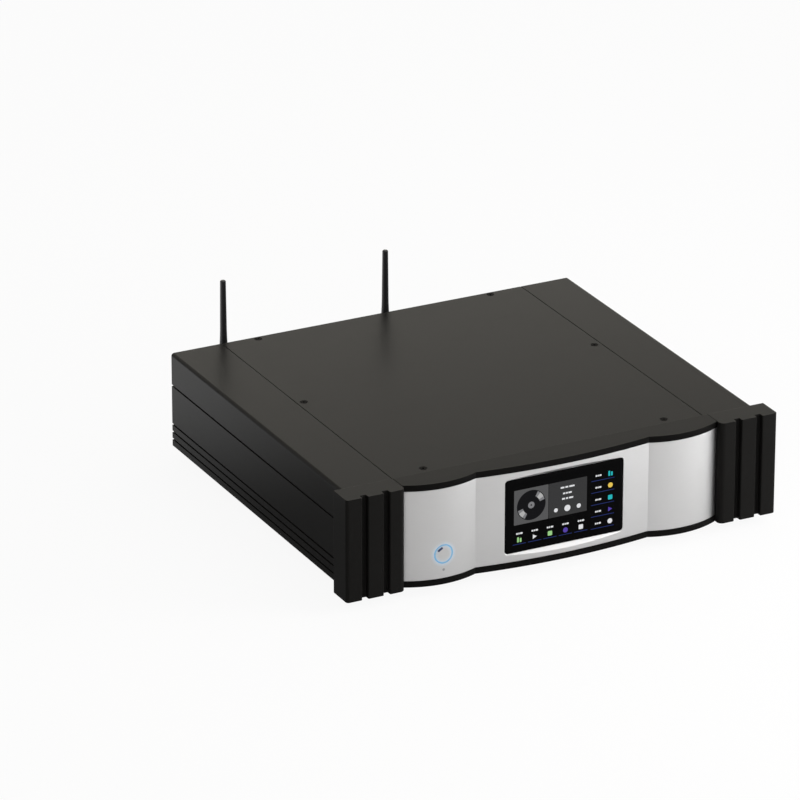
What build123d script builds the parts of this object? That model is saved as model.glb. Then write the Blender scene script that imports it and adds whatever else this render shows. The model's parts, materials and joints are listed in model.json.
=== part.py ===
from build123d import *
import math
import os

# A full-width network streamer with a three-lobed front, all sizes in millimetres.
# X runs to the right seen from the front, Y runs to the back, Z runs up from the floor.
# Places along Y are counted from the front of the cheeks, and save() puts the middle
# of the whole object over the origin.

# Front: two finned cheeks with the lobed fascia between them
FRONT_WIDTH = 430.0
FRONT_HEIGHT = 97.5
FRONT_DEPTH = 26.0
FRONT_LIFT = 10.0
CHEEK_WIDTH = 57.5
CHEEK_BARS = 3
CHEEK_GROOVE_WIDTH = 5.8
CHEEK_GROOVE_DEPTH = 5.0
CHEEK_OUTER_RADIUS = 3.0
CHEEK_INNER_RADIUS = 5.0
BAR_EDGE_RADIUS = 1.2
FRONT_EDGE_BREAK = 0.4
SIDE_LOBE_WIDTH = 71.0
SIDE_LOBE_BOW = 8.2
CENTRE_LOBE_BOW = 6.7
CREASE_SETBACK = 4.7
LOBE_END_SETBACK = 8.0
LIP_HEIGHT = 5.9
LIP_PROUD = 0.4
SILVER_THICKNESS = 5.0
HAIRLINE = 0.2

# Display behind its window in the silver panel
GLASS_WIDTH = 118.0
GLASS_HEIGHT = 70.2
GLASS_THICKNESS = 1.5
GLASS_RADIUS = 3.0
GLASS_INSET = 0.3
WINDOW_FLARE = 45.0
DISPLAY_LIFT = 49.1
LCD_BORDER = 2.2
LCD_THICKNESS = 6.3
LCD_CORNER = 1.1
DISPLAY_POCKET_BORDER = 4.0
BRACKET_THICKNESS = 1.5
DISPLAY_BOARD_WIDTH = 92.0
DISPLAY_BOARD_HEIGHT = 54.0
DISPLAY_POST_HEIGHT = 4.0
DISPLAY_CHIP_SIZE = 22.0
DISPLAY_PLUG_HEIGHT = 6.0

# Power button, its light ring and the sensor under it
BUTTON_LIFT = 28.9
BUTTON_OFFSET = 1.0
BUTTON_RADIUS = 7.6
BUTTON_RUNNING_GAP = 0.3
BUTTON_TRAVEL = 0.8
BUTTON_RIM = 1.3
BUTTON_RIM_THICKNESS = 1.0
BUTTON_STEM_RADIUS = 2.0
BUTTON_STEM_LENGTH = 1.4
RING_WIDTH = 1.3
RING_FLANGE = 3.0
RING_FLANGE_THICKNESS = 1.5
RING_LENGTH = 9.5
SENSOR_DROP = 15.0
SENSOR_RADIUS = 1.2
LAMP_SIZE = 2.5
LAMP_HEIGHT = 1.25
SENSOR_CHIP_WIDTH = 5.0
SENSOR_CHIP_HEIGHT = 3.8
SWITCH_SIZE = 6.0
SWITCH_HEIGHT = 3.4
PLUNGER_RADIUS = 1.5
PLUNGER_GUIDE = 0.8
BUTTON_BOARD_WIDTH = 30.0
BUTTON_BOARD_HEIGHT = 40.0
BUTTON_BOARD_DROP = 2.0
BOARD_POST_RADIUS = 2.5
BUTTON_POCKET_BORDER = 2.0

# Chassis
CHEEK_OVERHANG = 8.5
CHASSIS_DEPTH = 350.0
TOP_STEP = 2.7
BASE_LIFT = 12.5
SIDE_THICKNESS = 5.0
TOP_STRIP_WIDTH = 50.8
TOP_STRIP_THICKNESS = 6.0
COVER_LEDGE_WIDTH = 15.0
COVER_THICKNESS = 3.0
SEAM_GAP = 0.5
TOP_EDGE_RADIUS = 3.0
BOTTOM_EDGE_BREAK = 1.0
SIDE_GROOVE_WIDTH = 1.6
SIDE_GROOVE_DEPTH = 1.5
LOW_GROOVE_LIFT = 7.3
LOW_GROOVE_PITCH = 7.4
LOW_GROOVES = 3
HIGH_GROOVE_LIFT = 60.6
SCREW_PORT = 8.0
SCREW_PORT_LOW = 18.0
SCREW_PORT_HIGH = 72.0
BASE_THICKNESS = 2.0
BASE_LIP_WIDTH = 10.0
BASE_LIP_THICKNESS = 4.0
BASE_FLANGE_HEIGHT = 12.0
BASE_FLANGE_THICKNESS = 1.5
REAR_THICKNESS = 2.0
SUBPANEL_THICKNESS = 4.0
COVER_FLANGE_DEPTH = 16.0
COVER_FLANGE_THICKNESS = 2.0
FIT_GAP = 0.2
VENT_LENGTH = 40.0
VENT_WIDTH = 4.0
VENT_PITCH = 10.0
VENTS = 9

# Feet
FOOT_RADIUS = 20.0
FOOT_FLARE = 1.5
FOOT_RECESS = 1.5
PAD_RADIUS = 16.0
PAD_HEIGHT = 4.0
PAD_EDGE_BREAK = 0.4
FOOT_INSET_SIDE = 42.0
FOOT_INSET_END = 45.0

# Screws: thread radius, head radius and head height
M3_RADIUS = 1.5
M3_HEAD_RADIUS = 2.8
M3_HEAD_HEIGHT = 1.8
M4_RADIUS = 2.0
M4_HEAD_RADIUS = 3.6
M4_HEAD_HEIGHT = 2.4
SUNK_HEAD_RADIUS = 3.1
SUNK_HEAD_HEIGHT = 1.7
SOCKET_RADIUS = 1.1
SOCKET_DEPTH = 1.0
THREAD_GAP = 0.04
COVER_SCREW_LENGTH = 5.0
COVER_SCREW_INSET = 35.1
COVER_SCREW_FRONT = 13.0
COVER_SCREW_REAR = 5.0
COVER_SCREW_SIDE = 7.2
COVER_SCREW_MIDDLE = 193.0
FRONT_SCREW_LENGTH = 12.0
CHEEK_SCREW_INSET = 22.0
FASCIA_SCREW_INSET = 13.0
FRONT_SCREW_EDGE = 22.0
PORT_SCREW_LENGTH = 10.0
BASE_SCREW_LENGTH = 5.0
BASE_SCREW_END = 30.0
FOOT_SCREW_LENGTH = 9.0
BOARD_SCREW_LENGTH = 5.0

# Boards on the base
BOARD_THICKNESS = 1.6
STANDOFF_HEIGHT = 8.0
STANDOFF_RADIUS = 3.0
STANDOFF_INSET = 5.0
STANDOFF_REAR_INSET = 32.0
BOARD_MARGIN = 14.0
DAC_BOARD_WIDTH = 138.0
DAC_BOARD_DEPTH = 122.0
MAIN_BOARD_WIDTH = 112.0
MAIN_BOARD_DEPTH = 104.0
SUPPLY_BOARD_WIDTH = 96.0
SUPPLY_BOARD_DEPTH = 72.0
BOARD_SPACING = 6.0
CHIP_HEIGHT = 2.0
PROCESSOR_SIZE = 26.0
MEMORY_SIZE = 13.0
MEMORY_HEIGHT = 1.0
MEMORY_SPREAD = 13.0
CONVERTER_SIZE = 13.0
HEATSINK_SIZE = 42.0
HEATSINK_BASE = 4.0
HEATSINK_HEIGHT = 22.0
HEATSINK_FINS = 8
FIN_THICKNESS = 1.8
RADIO_INSET = 8.0
RADIO_WIDTH = 20.0
RADIO_DEPTH = 30.0
RADIO_HEIGHT = 3.2
RADIO_EDGE_RADIUS = 0.8
CAPACITOR_RADIUS = 11.0
CAPACITOR_HEIGHT = 40.0
CAPACITOR_GAP = 3.0
FILM_RADIUS = 5.0
FILM_HEIGHT = 14.0
FILM_CAPACITORS = 4
FILM_GAP = 15.0
FILM_SETBACK = 25.0
SUPPLY_SINK_GAP = 2.0
SUPPLY_SINK_WIDTH = 12.0
SUPPLY_SINK_HEIGHT = 36.0
SUPPLY_SINK_DEPTH = 60.0
SUPPLY_SINK_FINS = 5

# Toroidal transformer
TOROID_RADIUS = 45.0
TOROID_BORE = 15.0
TOROID_HEIGHT = 44.0
TOROID_ROUND = 9.0
TOROID_PAD_RADIUS = 27.0
TOROID_PAD_HEIGHT = 3.0
TOROID_SIDE_GAP = 7.0
TOROID_REAR_GAP = 8.0
DISH_RADIUS = 32.0
DISH_THICKNESS = 2.0
BOLT_RADIUS = 3.0
BOLT_HEAD_RADIUS = 5.5
BOLT_HEAD_HEIGHT = 4.0

# Rear sockets
SOCKET_GAP = 0.3
FLANGE_CORNER = 3.0
XLR_SOCKETS = 2
XLR_INSET = 24.0
XLR_PITCH = 32.0
XLR_AXIS_LIFT = 14.0
XLR_FLANGE_WIDTH = 26.0
XLR_FLANGE_HEIGHT = 31.0
XLR_FLANGE_THICKNESS = 2.0
XLR_NECK_RADIUS = 11.6
XLR_CUP_RADIUS = 9.6
XLR_CUP_DEPTH = 15.0
XLR_BODY_DEPTH = 22.0
XLR_PIN_RADIUS = 1.2
XLR_PIN_CIRCLE = 5.6
XLR_PINS = 3
XLR_FIRST_PIN = 270.0
XLR_PIN_ROOT = 2.0
PHONO_GAP = 9.2
PHONO_PITCH = 20.0
PHONO_SOCKETS = 3
PHONO_AXIS_LIFT = 11.0
PHONO_BODY_WIDTH = 10.0
PHONO_BODY_DEPTH = 12.0
PHONO_RING_RADIUS = 5.8
PHONO_RING_THICKNESS = 1.5
PHONO_NECK_RADIUS = 4.9
PHONO_BARREL_RADIUS = 4.15
PHONO_BARREL_LENGTH = 8.0
PHONO_BORE_RADIUS = 1.7
PHONO_BORE_FLOOR = 1.5
PHONO_EDGE_BREAK = 0.4
OPTICAL_INSET = 12.0
OPTICAL_SIZE = 10.0
OPTICAL_PROUD = 1.2
OPTICAL_BODY_DEPTH = 14.0
OPTICAL_DOOR_WIDTH = 6.4
OPTICAL_DOOR_DEPTH = 0.6
SHELL_GAP = 7.0
NETWORK_WIDTH = 16.0
NETWORK_HEIGHT = 13.6
NETWORK_DEPTH = 21.0
NETWORK_MOUTH_WIDTH = 12.0
NETWORK_MOUTH_HEIGHT = 8.6
NETWORK_MOUTH_DEPTH = 13.0
USB_GAP = 3.6
USB_STACKS = 2
USB_WIDTH = 14.4
USB_HEIGHT = 16.0
USB_DEPTH = 18.0
USB_MOUTHS = 2
USB_MOUTH_WIDTH = 12.6
USB_MOUTH_HEIGHT = 5.2
USB_MOUTH_DEPTH = 12.0
USB_TONGUE_WIDTH = 11.0
USB_TONGUE_THICKNESS = 1.9
SHELL_PROUD = 0.8
INLET_INSET = 40.0
INLET_LIFT = 29.0
INLET_FLANGE_WIDTH = 50.0
INLET_FLANGE_HEIGHT = 23.0
INLET_FLANGE_THICKNESS = 3.0
INLET_BODY_WIDTH = 28.0
INLET_BODY_HEIGHT = 20.0
INLET_BODY_DEPTH = 22.0
INLET_MOUTH_WIDTH = 24.4
INLET_MOUTH_HEIGHT = 16.6
INLET_MOUTH_DEPTH = 16.0
INLET_MOUTH_RADIUS = 2.0
INLET_SCREW_SPREAD = 20.0
BLADE_WIDTH = 2.0
BLADE_HEIGHT = 4.0
BLADE_SPREAD = 7.0
BLADE_STEP = 2.0
BLADE_ROOT = 3.0
ROCKER_GAP = 3.0
ROCKER_WIDTH = 10.6
ROCKER_HEIGHT = 17.0
ROCKER_PIVOT_DEPTH = 3.0
ROCKER_PEAK = 2.8
ROCKER_VALLEY = 1.0
ROCKER_THROW = 14.0
ROCKER_BODY_DEPTH = 6.0
ROCKER_HEEL_HEIGHT = 5.6
ROCKER_SIDE_GAP = 0.35
ROCKER_END_GAP = 1.0
TRUNNION_RADIUS = 1.5
TRUNNION_REACH = 0.8
TRUNNION_GAP = 0.06
FRAME_WALL = 1.6
FRAME_BEZEL = 3.0
FRAME_BEZEL_THICKNESS = 1.6
FRAME_DEPTH = 14.0

# Antennas
LEFT_ANTENNA_X = -144.0
RIGHT_ANTENNA_X = 23.0
ANTENNA_LIFT = 74.0
ANTENNA_REACH = 20.0
JACK_RADIUS = 3.15
JACK_LENGTH = 10.0
JACK_INNER_RADIUS = 4.5
JACK_INNER_LENGTH = 6.0
JACK_NUT_FLATS = 8.0
JACK_NUT_THICKNESS = 2.2
SLEEVE_RADIUS = 4.8
SLEEVE_GAP = 0.06
SLEEVE_STANDOFF = 0.4
SLEEVE_END = 2.0
KNUCKLE_RADIUS = 5.0
KNUCKLE_ROUND = 5.8
TONGUE_THICKNESS = 3.4
TONGUE_RADIUS = 4.6
TONGUE_SIDE_GAP = 0.3
EAR_THICKNESS = 2.6
HINGE_PIN_RADIUS = 1.2
HINGE_PIN_GAP = 0.05
WHIP_LENGTH = 84.0
WHIP_START = 5.8
WHIP_FOOT_RADIUS = 4.4
WHIP_FOOT_LENGTH = 6.0
WHIP_WAIST_RADIUS = 3.1
WHIP_WAIST_HEIGHT = 44.0
WHIP_TIP_RADIUS = 2.7
WHIP_TIP_ROUND = 1.0

# Antenna leads inside
LEAD_RADIUS = 0.7
LEAD_BEND = 8.0
LEAD_STRAIGHT = 24.0

# Levels and planes that the pieces share
FRONT_TOP = FRONT_LIFT + FRONT_HEIGHT
CHASSIS_TOP = FRONT_TOP - TOP_STEP
COVER_UNDERSIDE = CHASSIS_TOP - COVER_THICKNESS
STRIP_UNDERSIDE = CHASSIS_TOP - TOP_STRIP_THICKNESS
BASE_TOP = BASE_LIFT + BASE_THICKNESS
BOARD_UNDERSIDE = BASE_TOP + STANDOFF_HEIGHT
BOARD_TOP = BOARD_UNDERSIDE + BOARD_THICKNESS
CHEEK_INSIDE = FRONT_WIDTH / 2 - CHEEK_WIDTH
FASCIA_HALF = CHEEK_INSIDE - HAIRLINE
CREASE_X = CHEEK_INSIDE - SIDE_LOBE_WIDTH
CENTRE_CREST = CREASE_SETBACK - CENTRE_LOBE_BOW
SIDE_OUTSIDE = FRONT_WIDTH / 2 - CHEEK_OVERHANG
SIDE_INSIDE = SIDE_OUTSIDE - SIDE_THICKNESS
SEAM_X = SIDE_OUTSIDE - TOP_STRIP_WIDTH
LEDGE_INSIDE = SEAM_X - COVER_LEDGE_WIDTH
SUBPANEL_BACK = FRONT_DEPTH + SUBPANEL_THICKNESS
REAR_FACE = FRONT_DEPTH + CHASSIS_DEPTH
REAR_INSIDE = REAR_FACE - REAR_THICKNESS
SILVER_BACK = LIP_PROUD + SILVER_THICKNESS
HINGE_Y = REAR_FACE + ANTENNA_REACH
MIDDLE_Y = (CENTRE_CREST + HINGE_Y + KNUCKLE_RADIUS) / 2

# Display and button places
DISPLAY_Z = FRONT_LIFT + DISPLAY_LIFT
BUTTON_Z = FRONT_LIFT + BUTTON_LIFT
SENSOR_Z = BUTTON_Z - SENSOR_DROP
BUTTON_X = BUTTON_OFFSET - (CREASE_X + SIDE_LOBE_WIDTH / 2)
RING_BORE = BUTTON_RADIUS + BUTTON_RUNNING_GAP
RING_RADIUS = RING_BORE + RING_WIDTH

# Board corners, each as left, right, front and rear
BOARD_REAR = REAR_INSIDE - FIT_GAP
DAC_LEFT = -SIDE_INSIDE + BOARD_MARGIN
MAIN_LEFT = DAC_LEFT + DAC_BOARD_WIDTH + BOARD_SPACING
SUPPLY_RIGHT = SIDE_INSIDE - BOARD_MARGIN
DAC_BOARD = (DAC_LEFT, DAC_LEFT + DAC_BOARD_WIDTH, BOARD_REAR - DAC_BOARD_DEPTH, BOARD_REAR)
MAIN_BOARD = (MAIN_LEFT, MAIN_LEFT + MAIN_BOARD_WIDTH, BOARD_REAR - MAIN_BOARD_DEPTH, BOARD_REAR)
SUPPLY_REAR = BOARD_REAR - MAIN_BOARD_DEPTH - BOARD_SPACING
SUPPLY_BOARD = (
    SUPPLY_RIGHT - SUPPLY_BOARD_WIDTH,
    SUPPLY_RIGHT,
    SUPPLY_REAR - SUPPLY_BOARD_DEPTH,
    SUPPLY_REAR,
)
BOARDS = (DAC_BOARD, MAIN_BOARD, SUPPLY_BOARD)

# Socket places along the rear
XLR_XS = [-SIDE_INSIDE + XLR_INSET + i * XLR_PITCH for i in range(XLR_SOCKETS)]
PHONO_FIRST = XLR_XS[-1] + XLR_FLANGE_WIDTH / 2 + PHONO_GAP + PHONO_RING_RADIUS
PHONO_XS = [PHONO_FIRST + i * PHONO_PITCH for i in range(PHONO_SOCKETS)]
OPTICAL_X = MAIN_LEFT + OPTICAL_INSET
NETWORK_X = OPTICAL_X + OPTICAL_SIZE / 2 + SHELL_GAP + NETWORK_WIDTH / 2
USB_FIRST = NETWORK_X + NETWORK_WIDTH / 2 + SHELL_GAP + USB_WIDTH / 2
USB_XS = [USB_FIRST + i * (USB_WIDTH + USB_GAP) for i in range(USB_STACKS)]
FRAME_WELL_WIDTH = ROCKER_WIDTH + 2 * ROCKER_SIDE_GAP
FRAME_WELL_HEIGHT = ROCKER_HEIGHT + 2 * ROCKER_END_GAP
FRAME_HALF_WIDTH = FRAME_WELL_WIDTH / 2 + FRAME_WALL + FRAME_BEZEL
INLET_X = SIDE_INSIDE - INLET_INSET
ROCKER_X = INLET_X - INLET_FLANGE_WIDTH / 2 - ROCKER_GAP - FRAME_HALF_WIDTH
PIVOT_Y = REAR_FACE - ROCKER_PIVOT_DEPTH
XLR_Z = BOARD_TOP + XLR_AXIS_LIFT
PHONO_Z = BOARD_TOP + PHONO_AXIS_LIFT
INLET_Z = BASE_LIFT + INLET_LIFT
ANTENNA_XS = {"left": LEFT_ANTENNA_X, "right": RIGHT_ANTENNA_X}


# Helpers


def block(x0, x1, y0, y1, z0, z1):
    """A box between two corners."""
    corner = (Align.MIN, Align.MIN, Align.MIN)
    return Pos(x0, y0, z0) * Box(x1 - x0, y1 - y0, z1 - z0, align=corner)


def rod(radius, length):
    """An upright cylinder that stands on the origin."""
    return Cylinder(radius, length, align=(Align.CENTER, Align.CENTER, Align.MIN))


def rod_x(y, z, radius, x0, x1):
    return Pos(x0, y, z) * Rot(0, 90, 0) * rod(radius, x1 - x0)


def rod_y(x, z, radius, y0, y1):
    return Pos(x, y0, z) * Rot(-90, 0, 0) * rod(radius, y1 - y0)


def rod_z(x, y, radius, z0, z1):
    return Pos(x, y, z0) * rod(radius, z1 - z0)


def plate_y(x, z, width, height, radius, y0, y1):
    """A plate with rounded corners that faces along Y."""
    face = Plane(origin=(x, y0, z), x_dir=(1, 0, 0), z_dir=(0, 1, 0))
    return extrude(face * RectangleRounded(width, height, radius), amount=y1 - y0)


def section_y(outline, y0, y1):
    """An outline drawn in X and Z, pushed from y0 to y1."""
    face = Plane(origin=(0, y0, 0), x_dir=(1, 0, 0), z_dir=(0, -1, 0))
    return extrude(face * outline, amount=y0 - y1)


def both_sides(xs):
    return [side * x for x in xs for side in (-1, 1)]


def group(shapes):
    """Several separate solids that share one node."""
    return Compound([solid for shape in shapes for solid in shape.solids()])


def save(name, shape):
    export_step(Pos(0, -MIDDLE_Y, 0) * shape, os.path.join("parts", name + ".step"))


# Screws, drawn with the head up and its seat at the origin


def pan_screw(radius, head_radius, head_height, length):
    head = rod(head_radius, head_height)
    socket = extrude(Pos(0, 0, head_height) * RegularPolygon(SOCKET_RADIUS, 6), amount=-SOCKET_DEPTH)
    return head + Pos(0, 0, -length) * rod(radius, length) - socket


def sunk_cone(extra):
    """The cone of a sunk head below its flat top, with some room round it."""
    return Pos(0, 0, -SUNK_HEAD_HEIGHT) * Cone(
        M3_RADIUS + extra,
        SUNK_HEAD_RADIUS + extra,
        SUNK_HEAD_HEIGHT,
        align=(Align.CENTER, Align.CENTER, Align.MIN),
    )


def sunk_hole(thickness):
    """A hole for a sunk screw through a plate whose face is at the origin."""
    return sunk_cone(FIT_GAP) + Pos(0, 0, -thickness) * rod(M3_RADIUS + FIT_GAP, thickness)


def sunk_screw(length):
    socket = extrude(RegularPolygon(SOCKET_RADIUS, 6), amount=-SOCKET_DEPTH)
    return sunk_cone(0) + Pos(0, 0, -length) * rod(M3_RADIUS, length) - socket


def m3_screw(length):
    return pan_screw(M3_RADIUS, M3_HEAD_RADIUS, M3_HEAD_HEIGHT, length)


def m4_screw(length):
    return pan_screw(M4_RADIUS, M4_HEAD_RADIUS, M4_HEAD_HEIGHT, length)


def cover_screw_spots():
    front = FRONT_DEPTH + COVER_SCREW_FRONT
    rear = REAR_FACE - COVER_SCREW_REAR
    middle = FRONT_DEPTH + COVER_SCREW_MIDDLE
    spots = [(x, y) for y in (front, rear) for x in both_sides([SEAM_X - COVER_SCREW_INSET])]
    return spots + [(x, middle) for x in both_sides([SEAM_X - COVER_SCREW_SIDE])]


def front_screw_spots():
    xs = both_sides([CHEEK_INSIDE + CHEEK_SCREW_INSET, CHEEK_INSIDE - FASCIA_SCREW_INSET])
    zs = (FRONT_LIFT + FRONT_SCREW_EDGE, FRONT_TOP - FRONT_SCREW_EDGE)
    return [(x, z) for x in xs for z in zs]


def port_spots():
    """The screw ports inside the two side panels."""
    zs = (BASE_LIFT + SCREW_PORT_LOW, BASE_LIFT + SCREW_PORT_HIGH)
    return [(x, z) for x in both_sides([SIDE_INSIDE - SCREW_PORT / 2]) for z in zs]


def base_screw_spots():
    ys = (SUBPANEL_BACK + BASE_SCREW_END, REAR_INSIDE - BASE_SCREW_END)
    return [(x, y) for x in both_sides([SIDE_INSIDE - BASE_LIP_WIDTH / 2]) for y in ys]


def foot_spots():
    ys = (FRONT_DEPTH + FOOT_INSET_END, REAR_FACE - FOOT_INSET_END)
    return [(x, y) for x in both_sides([SIDE_OUTSIDE - FOOT_INSET_SIDE]) for y in ys]


def standoff_spots(board):
    left, right, front, rear = board
    xs = (left + STANDOFF_INSET, right - STANDOFF_INSET)
    ys = (front + STANDOFF_INSET, rear - STANDOFF_REAR_INSET)
    return [(x, y) for x in xs for y in ys]


# Front pieces


def cheek():
    """The right cheek: upright bars with grooves between them."""
    outline = Pos(CHEEK_INSIDE, 0) * Rectangle(CHEEK_WIDTH, FRONT_DEPTH, align=(Align.MIN, Align.MIN))
    pitch = (CHEEK_WIDTH + CHEEK_GROOVE_WIDTH) / CHEEK_BARS
    for i in range(1, CHEEK_BARS):
        middle = CHEEK_INSIDE + i * pitch - CHEEK_GROOVE_WIDTH / 2
        outline -= Pos(middle, 0) * Rectangle(CHEEK_GROOVE_WIDTH, 2 * CHEEK_GROOVE_DEPTH)
    bar_corners = outline.vertices().group_by(Axis.Y)[0].sort_by(Axis.X)[1:-1]
    outline = fillet(bar_corners, BAR_EDGE_RADIUS)
    inner_corner = outline.vertices().group_by(Axis.Y)[0].sort_by(Axis.X)[0]
    outline = fillet(inner_corner, CHEEK_INNER_RADIUS)
    outer_corner = outline.vertices().group_by(Axis.Y)[0].sort_by(Axis.X)[-1]
    outline = fillet(outer_corner, CHEEK_OUTER_RADIUS)
    solid = extrude(Pos(0, 0, FRONT_LIFT) * outline, amount=FRONT_HEIGHT)
    ends = solid.edges().group_by(Axis.Z)
    solid = chamfer(ends[0] + ends[-1], FRONT_EDGE_BREAK)
    for x, z in front_screw_spots():
        if x > CHEEK_INSIDE:
            hole_radius = M4_RADIUS + THREAD_GAP
            solid -= rod_y(x, z, hole_radius, FRONT_DEPTH - FRONT_SCREW_LENGTH, FRONT_DEPTH)
    return solid


def lobed_outline(setback, back):
    """The region between the lobed front, moved back by setback, and a flat back."""
    middle_x = (CHEEK_INSIDE + CREASE_X) / 2
    middle_y = (LOBE_END_SETBACK + CREASE_SETBACK) / 2 - SIDE_LOBE_BOW
    left = [
        (-CHEEK_INSIDE, LOBE_END_SETBACK + setback),
        (-middle_x, middle_y + setback),
        (-CREASE_X, CREASE_SETBACK + setback),
    ]
    right = [(-x, y) for x, y in reversed(left)]
    front = [
        ThreePointArc(*left),
        ThreePointArc(left[-1], (0, CENTRE_CREST + setback), right[0]),
        ThreePointArc(*right),
    ]
    rear = Polyline(right[-1], (CHEEK_INSIDE, back), (-CHEEK_INSIDE, back), left[0])
    return make_face(front + [rear])


def between_cheeks(shape):
    """Cuts a lobed piece to the width between the cheeks and flat behind."""
    reach = FRONT_DEPTH - CENTRE_CREST
    return shape & block(-FASCIA_HALF, FASCIA_HALF, -reach, FRONT_DEPTH, 0, 2 * FRONT_TOP)


def lobed_solid(setback, back, z0, z1):
    return extrude(Pos(0, 0, z0) * lobed_outline(setback, back), amount=z1 - z0)


def centre_lobe_y(x):
    """How far back the front of the centre lobe lies at x."""
    radius = (CREASE_X**2 + CENTRE_LOBE_BOW**2) / (2 * CENTRE_LOBE_BOW)
    return CENTRE_CREST + radius - math.sqrt(radius**2 - x**2)


GLASS_FRONT = centre_lobe_y(GLASS_WIDTH / 2) + LIP_PROUD + GLASS_INSET
GLASS_BACK = GLASS_FRONT + GLASS_THICKNESS
LCD_BACK = GLASS_BACK + LCD_THICKNESS
BRACKET_BACK = LCD_BACK + BRACKET_THICKNESS
DISPLAY_BOARD_FRONT = BRACKET_BACK + DISPLAY_POST_HEIGHT
POCKET_WIDTH = GLASS_WIDTH + 2 * DISPLAY_POCKET_BORDER
POCKET_HEIGHT = GLASS_HEIGHT + 2 * DISPLAY_POCKET_BORDER

RING_SEAT = CENTRE_CREST + RING_LENGTH
RING_BACK = RING_SEAT + RING_FLANGE_THICKNESS
RIM_FRONT = RING_BACK + BUTTON_RUNNING_GAP
RIM_BACK = RIM_FRONT + BUTTON_RIM_THICKNESS
STEM_BACK = RIM_BACK + BUTTON_STEM_LENGTH
SWITCH_FRONT = STEM_BACK + BUTTON_TRAVEL + BUTTON_RUNNING_GAP
SWITCH_BACK = SWITCH_FRONT + SWITCH_HEIGHT
BUTTON_BOARD_BACK = SWITCH_BACK + BOARD_THICKNESS
BUTTON_BOARD_Z = BUTTON_Z - BUTTON_BOARD_DROP


def display_window(extra):
    """The window for the glass, through the silver panel and the fascia."""
    return plate_y(
        0,
        DISPLAY_Z,
        GLASS_WIDTH + 2 * extra,
        GLASS_HEIGHT + 2 * extra,
        GLASS_RADIUS + extra,
        CENTRE_CREST - LIP_PROUD,
        FRONT_DEPTH,
    )


def window_flare():
    """The splayed edges of the window, from the glass out to the front of the silver panel."""
    face = Plane(origin=(0, GLASS_FRONT, DISPLAY_Z), x_dir=(1, 0, 0), z_dir=(0, -1, 0))
    width, height = GLASS_WIDTH + 2 * FIT_GAP, GLASS_HEIGHT + 2 * FIT_GAP
    outline = RectangleRounded(width, height, GLASS_RADIUS + FIT_GAP)
    return extrude(face * outline, amount=GLASS_FRONT - CENTRE_CREST, taper=-WINDOW_FLARE)


def button_holes():
    ring = rod_y(BUTTON_X, BUTTON_Z, RING_RADIUS + FIT_GAP / 2, CENTRE_CREST, FRONT_DEPTH)
    sensor = rod_y(BUTTON_X, SENSOR_Z, SENSOR_RADIUS + FIT_GAP / 2, CENTRE_CREST, FRONT_DEPTH)
    return ring + sensor


def button_board_posts():
    xs = both_sides([BUTTON_BOARD_WIDTH / 2 - BOARD_POST_RADIUS])
    zs = both_sides([BUTTON_BOARD_HEIGHT / 2 - BOARD_POST_RADIUS])
    return [(BUTTON_X + x, BUTTON_BOARD_Z + z) for x in xs for z in zs]


def fascia():
    """The black front: lips above and below, pockets for what sits behind it."""
    edge = FRONT_EDGE_BREAK
    solid = lobed_solid(0, FRONT_DEPTH, FRONT_LIFT + edge, FRONT_TOP - edge)
    outline = lobed_outline(0, FRONT_DEPTH)
    lean = edge * math.sqrt(2)
    solid += extrude(Pos(0, 0, FRONT_TOP - edge) * outline, amount=lean, dir=(0, 1, 1))
    solid += extrude(Pos(0, 0, FRONT_LIFT + edge) * outline, amount=lean, dir=(0, 1, -1))
    low, high = FRONT_LIFT + LIP_HEIGHT, FRONT_TOP - LIP_HEIGHT
    tall = lobed_solid(-FRONT_DEPTH, FRONT_DEPTH, low, high)
    solid -= tall - lobed_solid(SILVER_BACK, FRONT_DEPTH, low, high)
    solid = between_cheeks(solid)
    solid -= display_window(FIT_GAP) + button_holes()
    solid -= plate_y(
        0, DISPLAY_Z, POCKET_WIDTH, POCKET_HEIGHT, GLASS_RADIUS, LCD_BACK, FRONT_DEPTH
    )
    solid -= plate_y(
        BUTTON_X,
        BUTTON_BOARD_Z,
        BUTTON_BOARD_WIDTH + 2 * BUTTON_POCKET_BORDER,
        BUTTON_BOARD_HEIGHT + 2 * BUTTON_POCKET_BORDER,
        BOARD_POST_RADIUS,
        RING_SEAT,
        FRONT_DEPTH,
    )
    for x, z in button_board_posts():
        solid += rod_y(x, z, BOARD_POST_RADIUS, RING_SEAT, SWITCH_BACK)
    for x, z in front_screw_spots():
        if abs(x) < CHEEK_INSIDE:
            hole_radius = M4_RADIUS + THREAD_GAP
            solid -= rod_y(x, z, hole_radius, FRONT_DEPTH - FRONT_SCREW_LENGTH, FRONT_DEPTH)
    return solid


def silver_panel():
    """The lobed metal plate between the two black lips."""
    low = FRONT_LIFT + LIP_HEIGHT + HAIRLINE / 2
    high = FRONT_TOP - LIP_HEIGHT - HAIRLINE / 2
    plate = lobed_solid(LIP_PROUD, FRONT_DEPTH, low, high) - lobed_solid(SILVER_BACK, FRONT_DEPTH, low, high)
    return between_cheeks(plate) - display_window(FIT_GAP) - window_flare() - button_holes()


def display_glass():
    return plate_y(
        0, DISPLAY_Z, GLASS_WIDTH, GLASS_HEIGHT, GLASS_RADIUS, GLASS_FRONT, GLASS_BACK
    )


def lcd_module():
    width, height = GLASS_WIDTH - 2 * LCD_BORDER, GLASS_HEIGHT - 2 * LCD_BORDER
    return plate_y(0, DISPLAY_Z, width, height, LCD_CORNER, GLASS_BACK, LCD_BACK)


def display_posts():
    xs = both_sides([DISPLAY_BOARD_WIDTH / 2 - BOARD_POST_RADIUS])
    zs = both_sides([DISPLAY_BOARD_HEIGHT / 2 - BOARD_POST_RADIUS])
    return [(x, DISPLAY_Z + z) for x in xs for z in zs]


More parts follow.
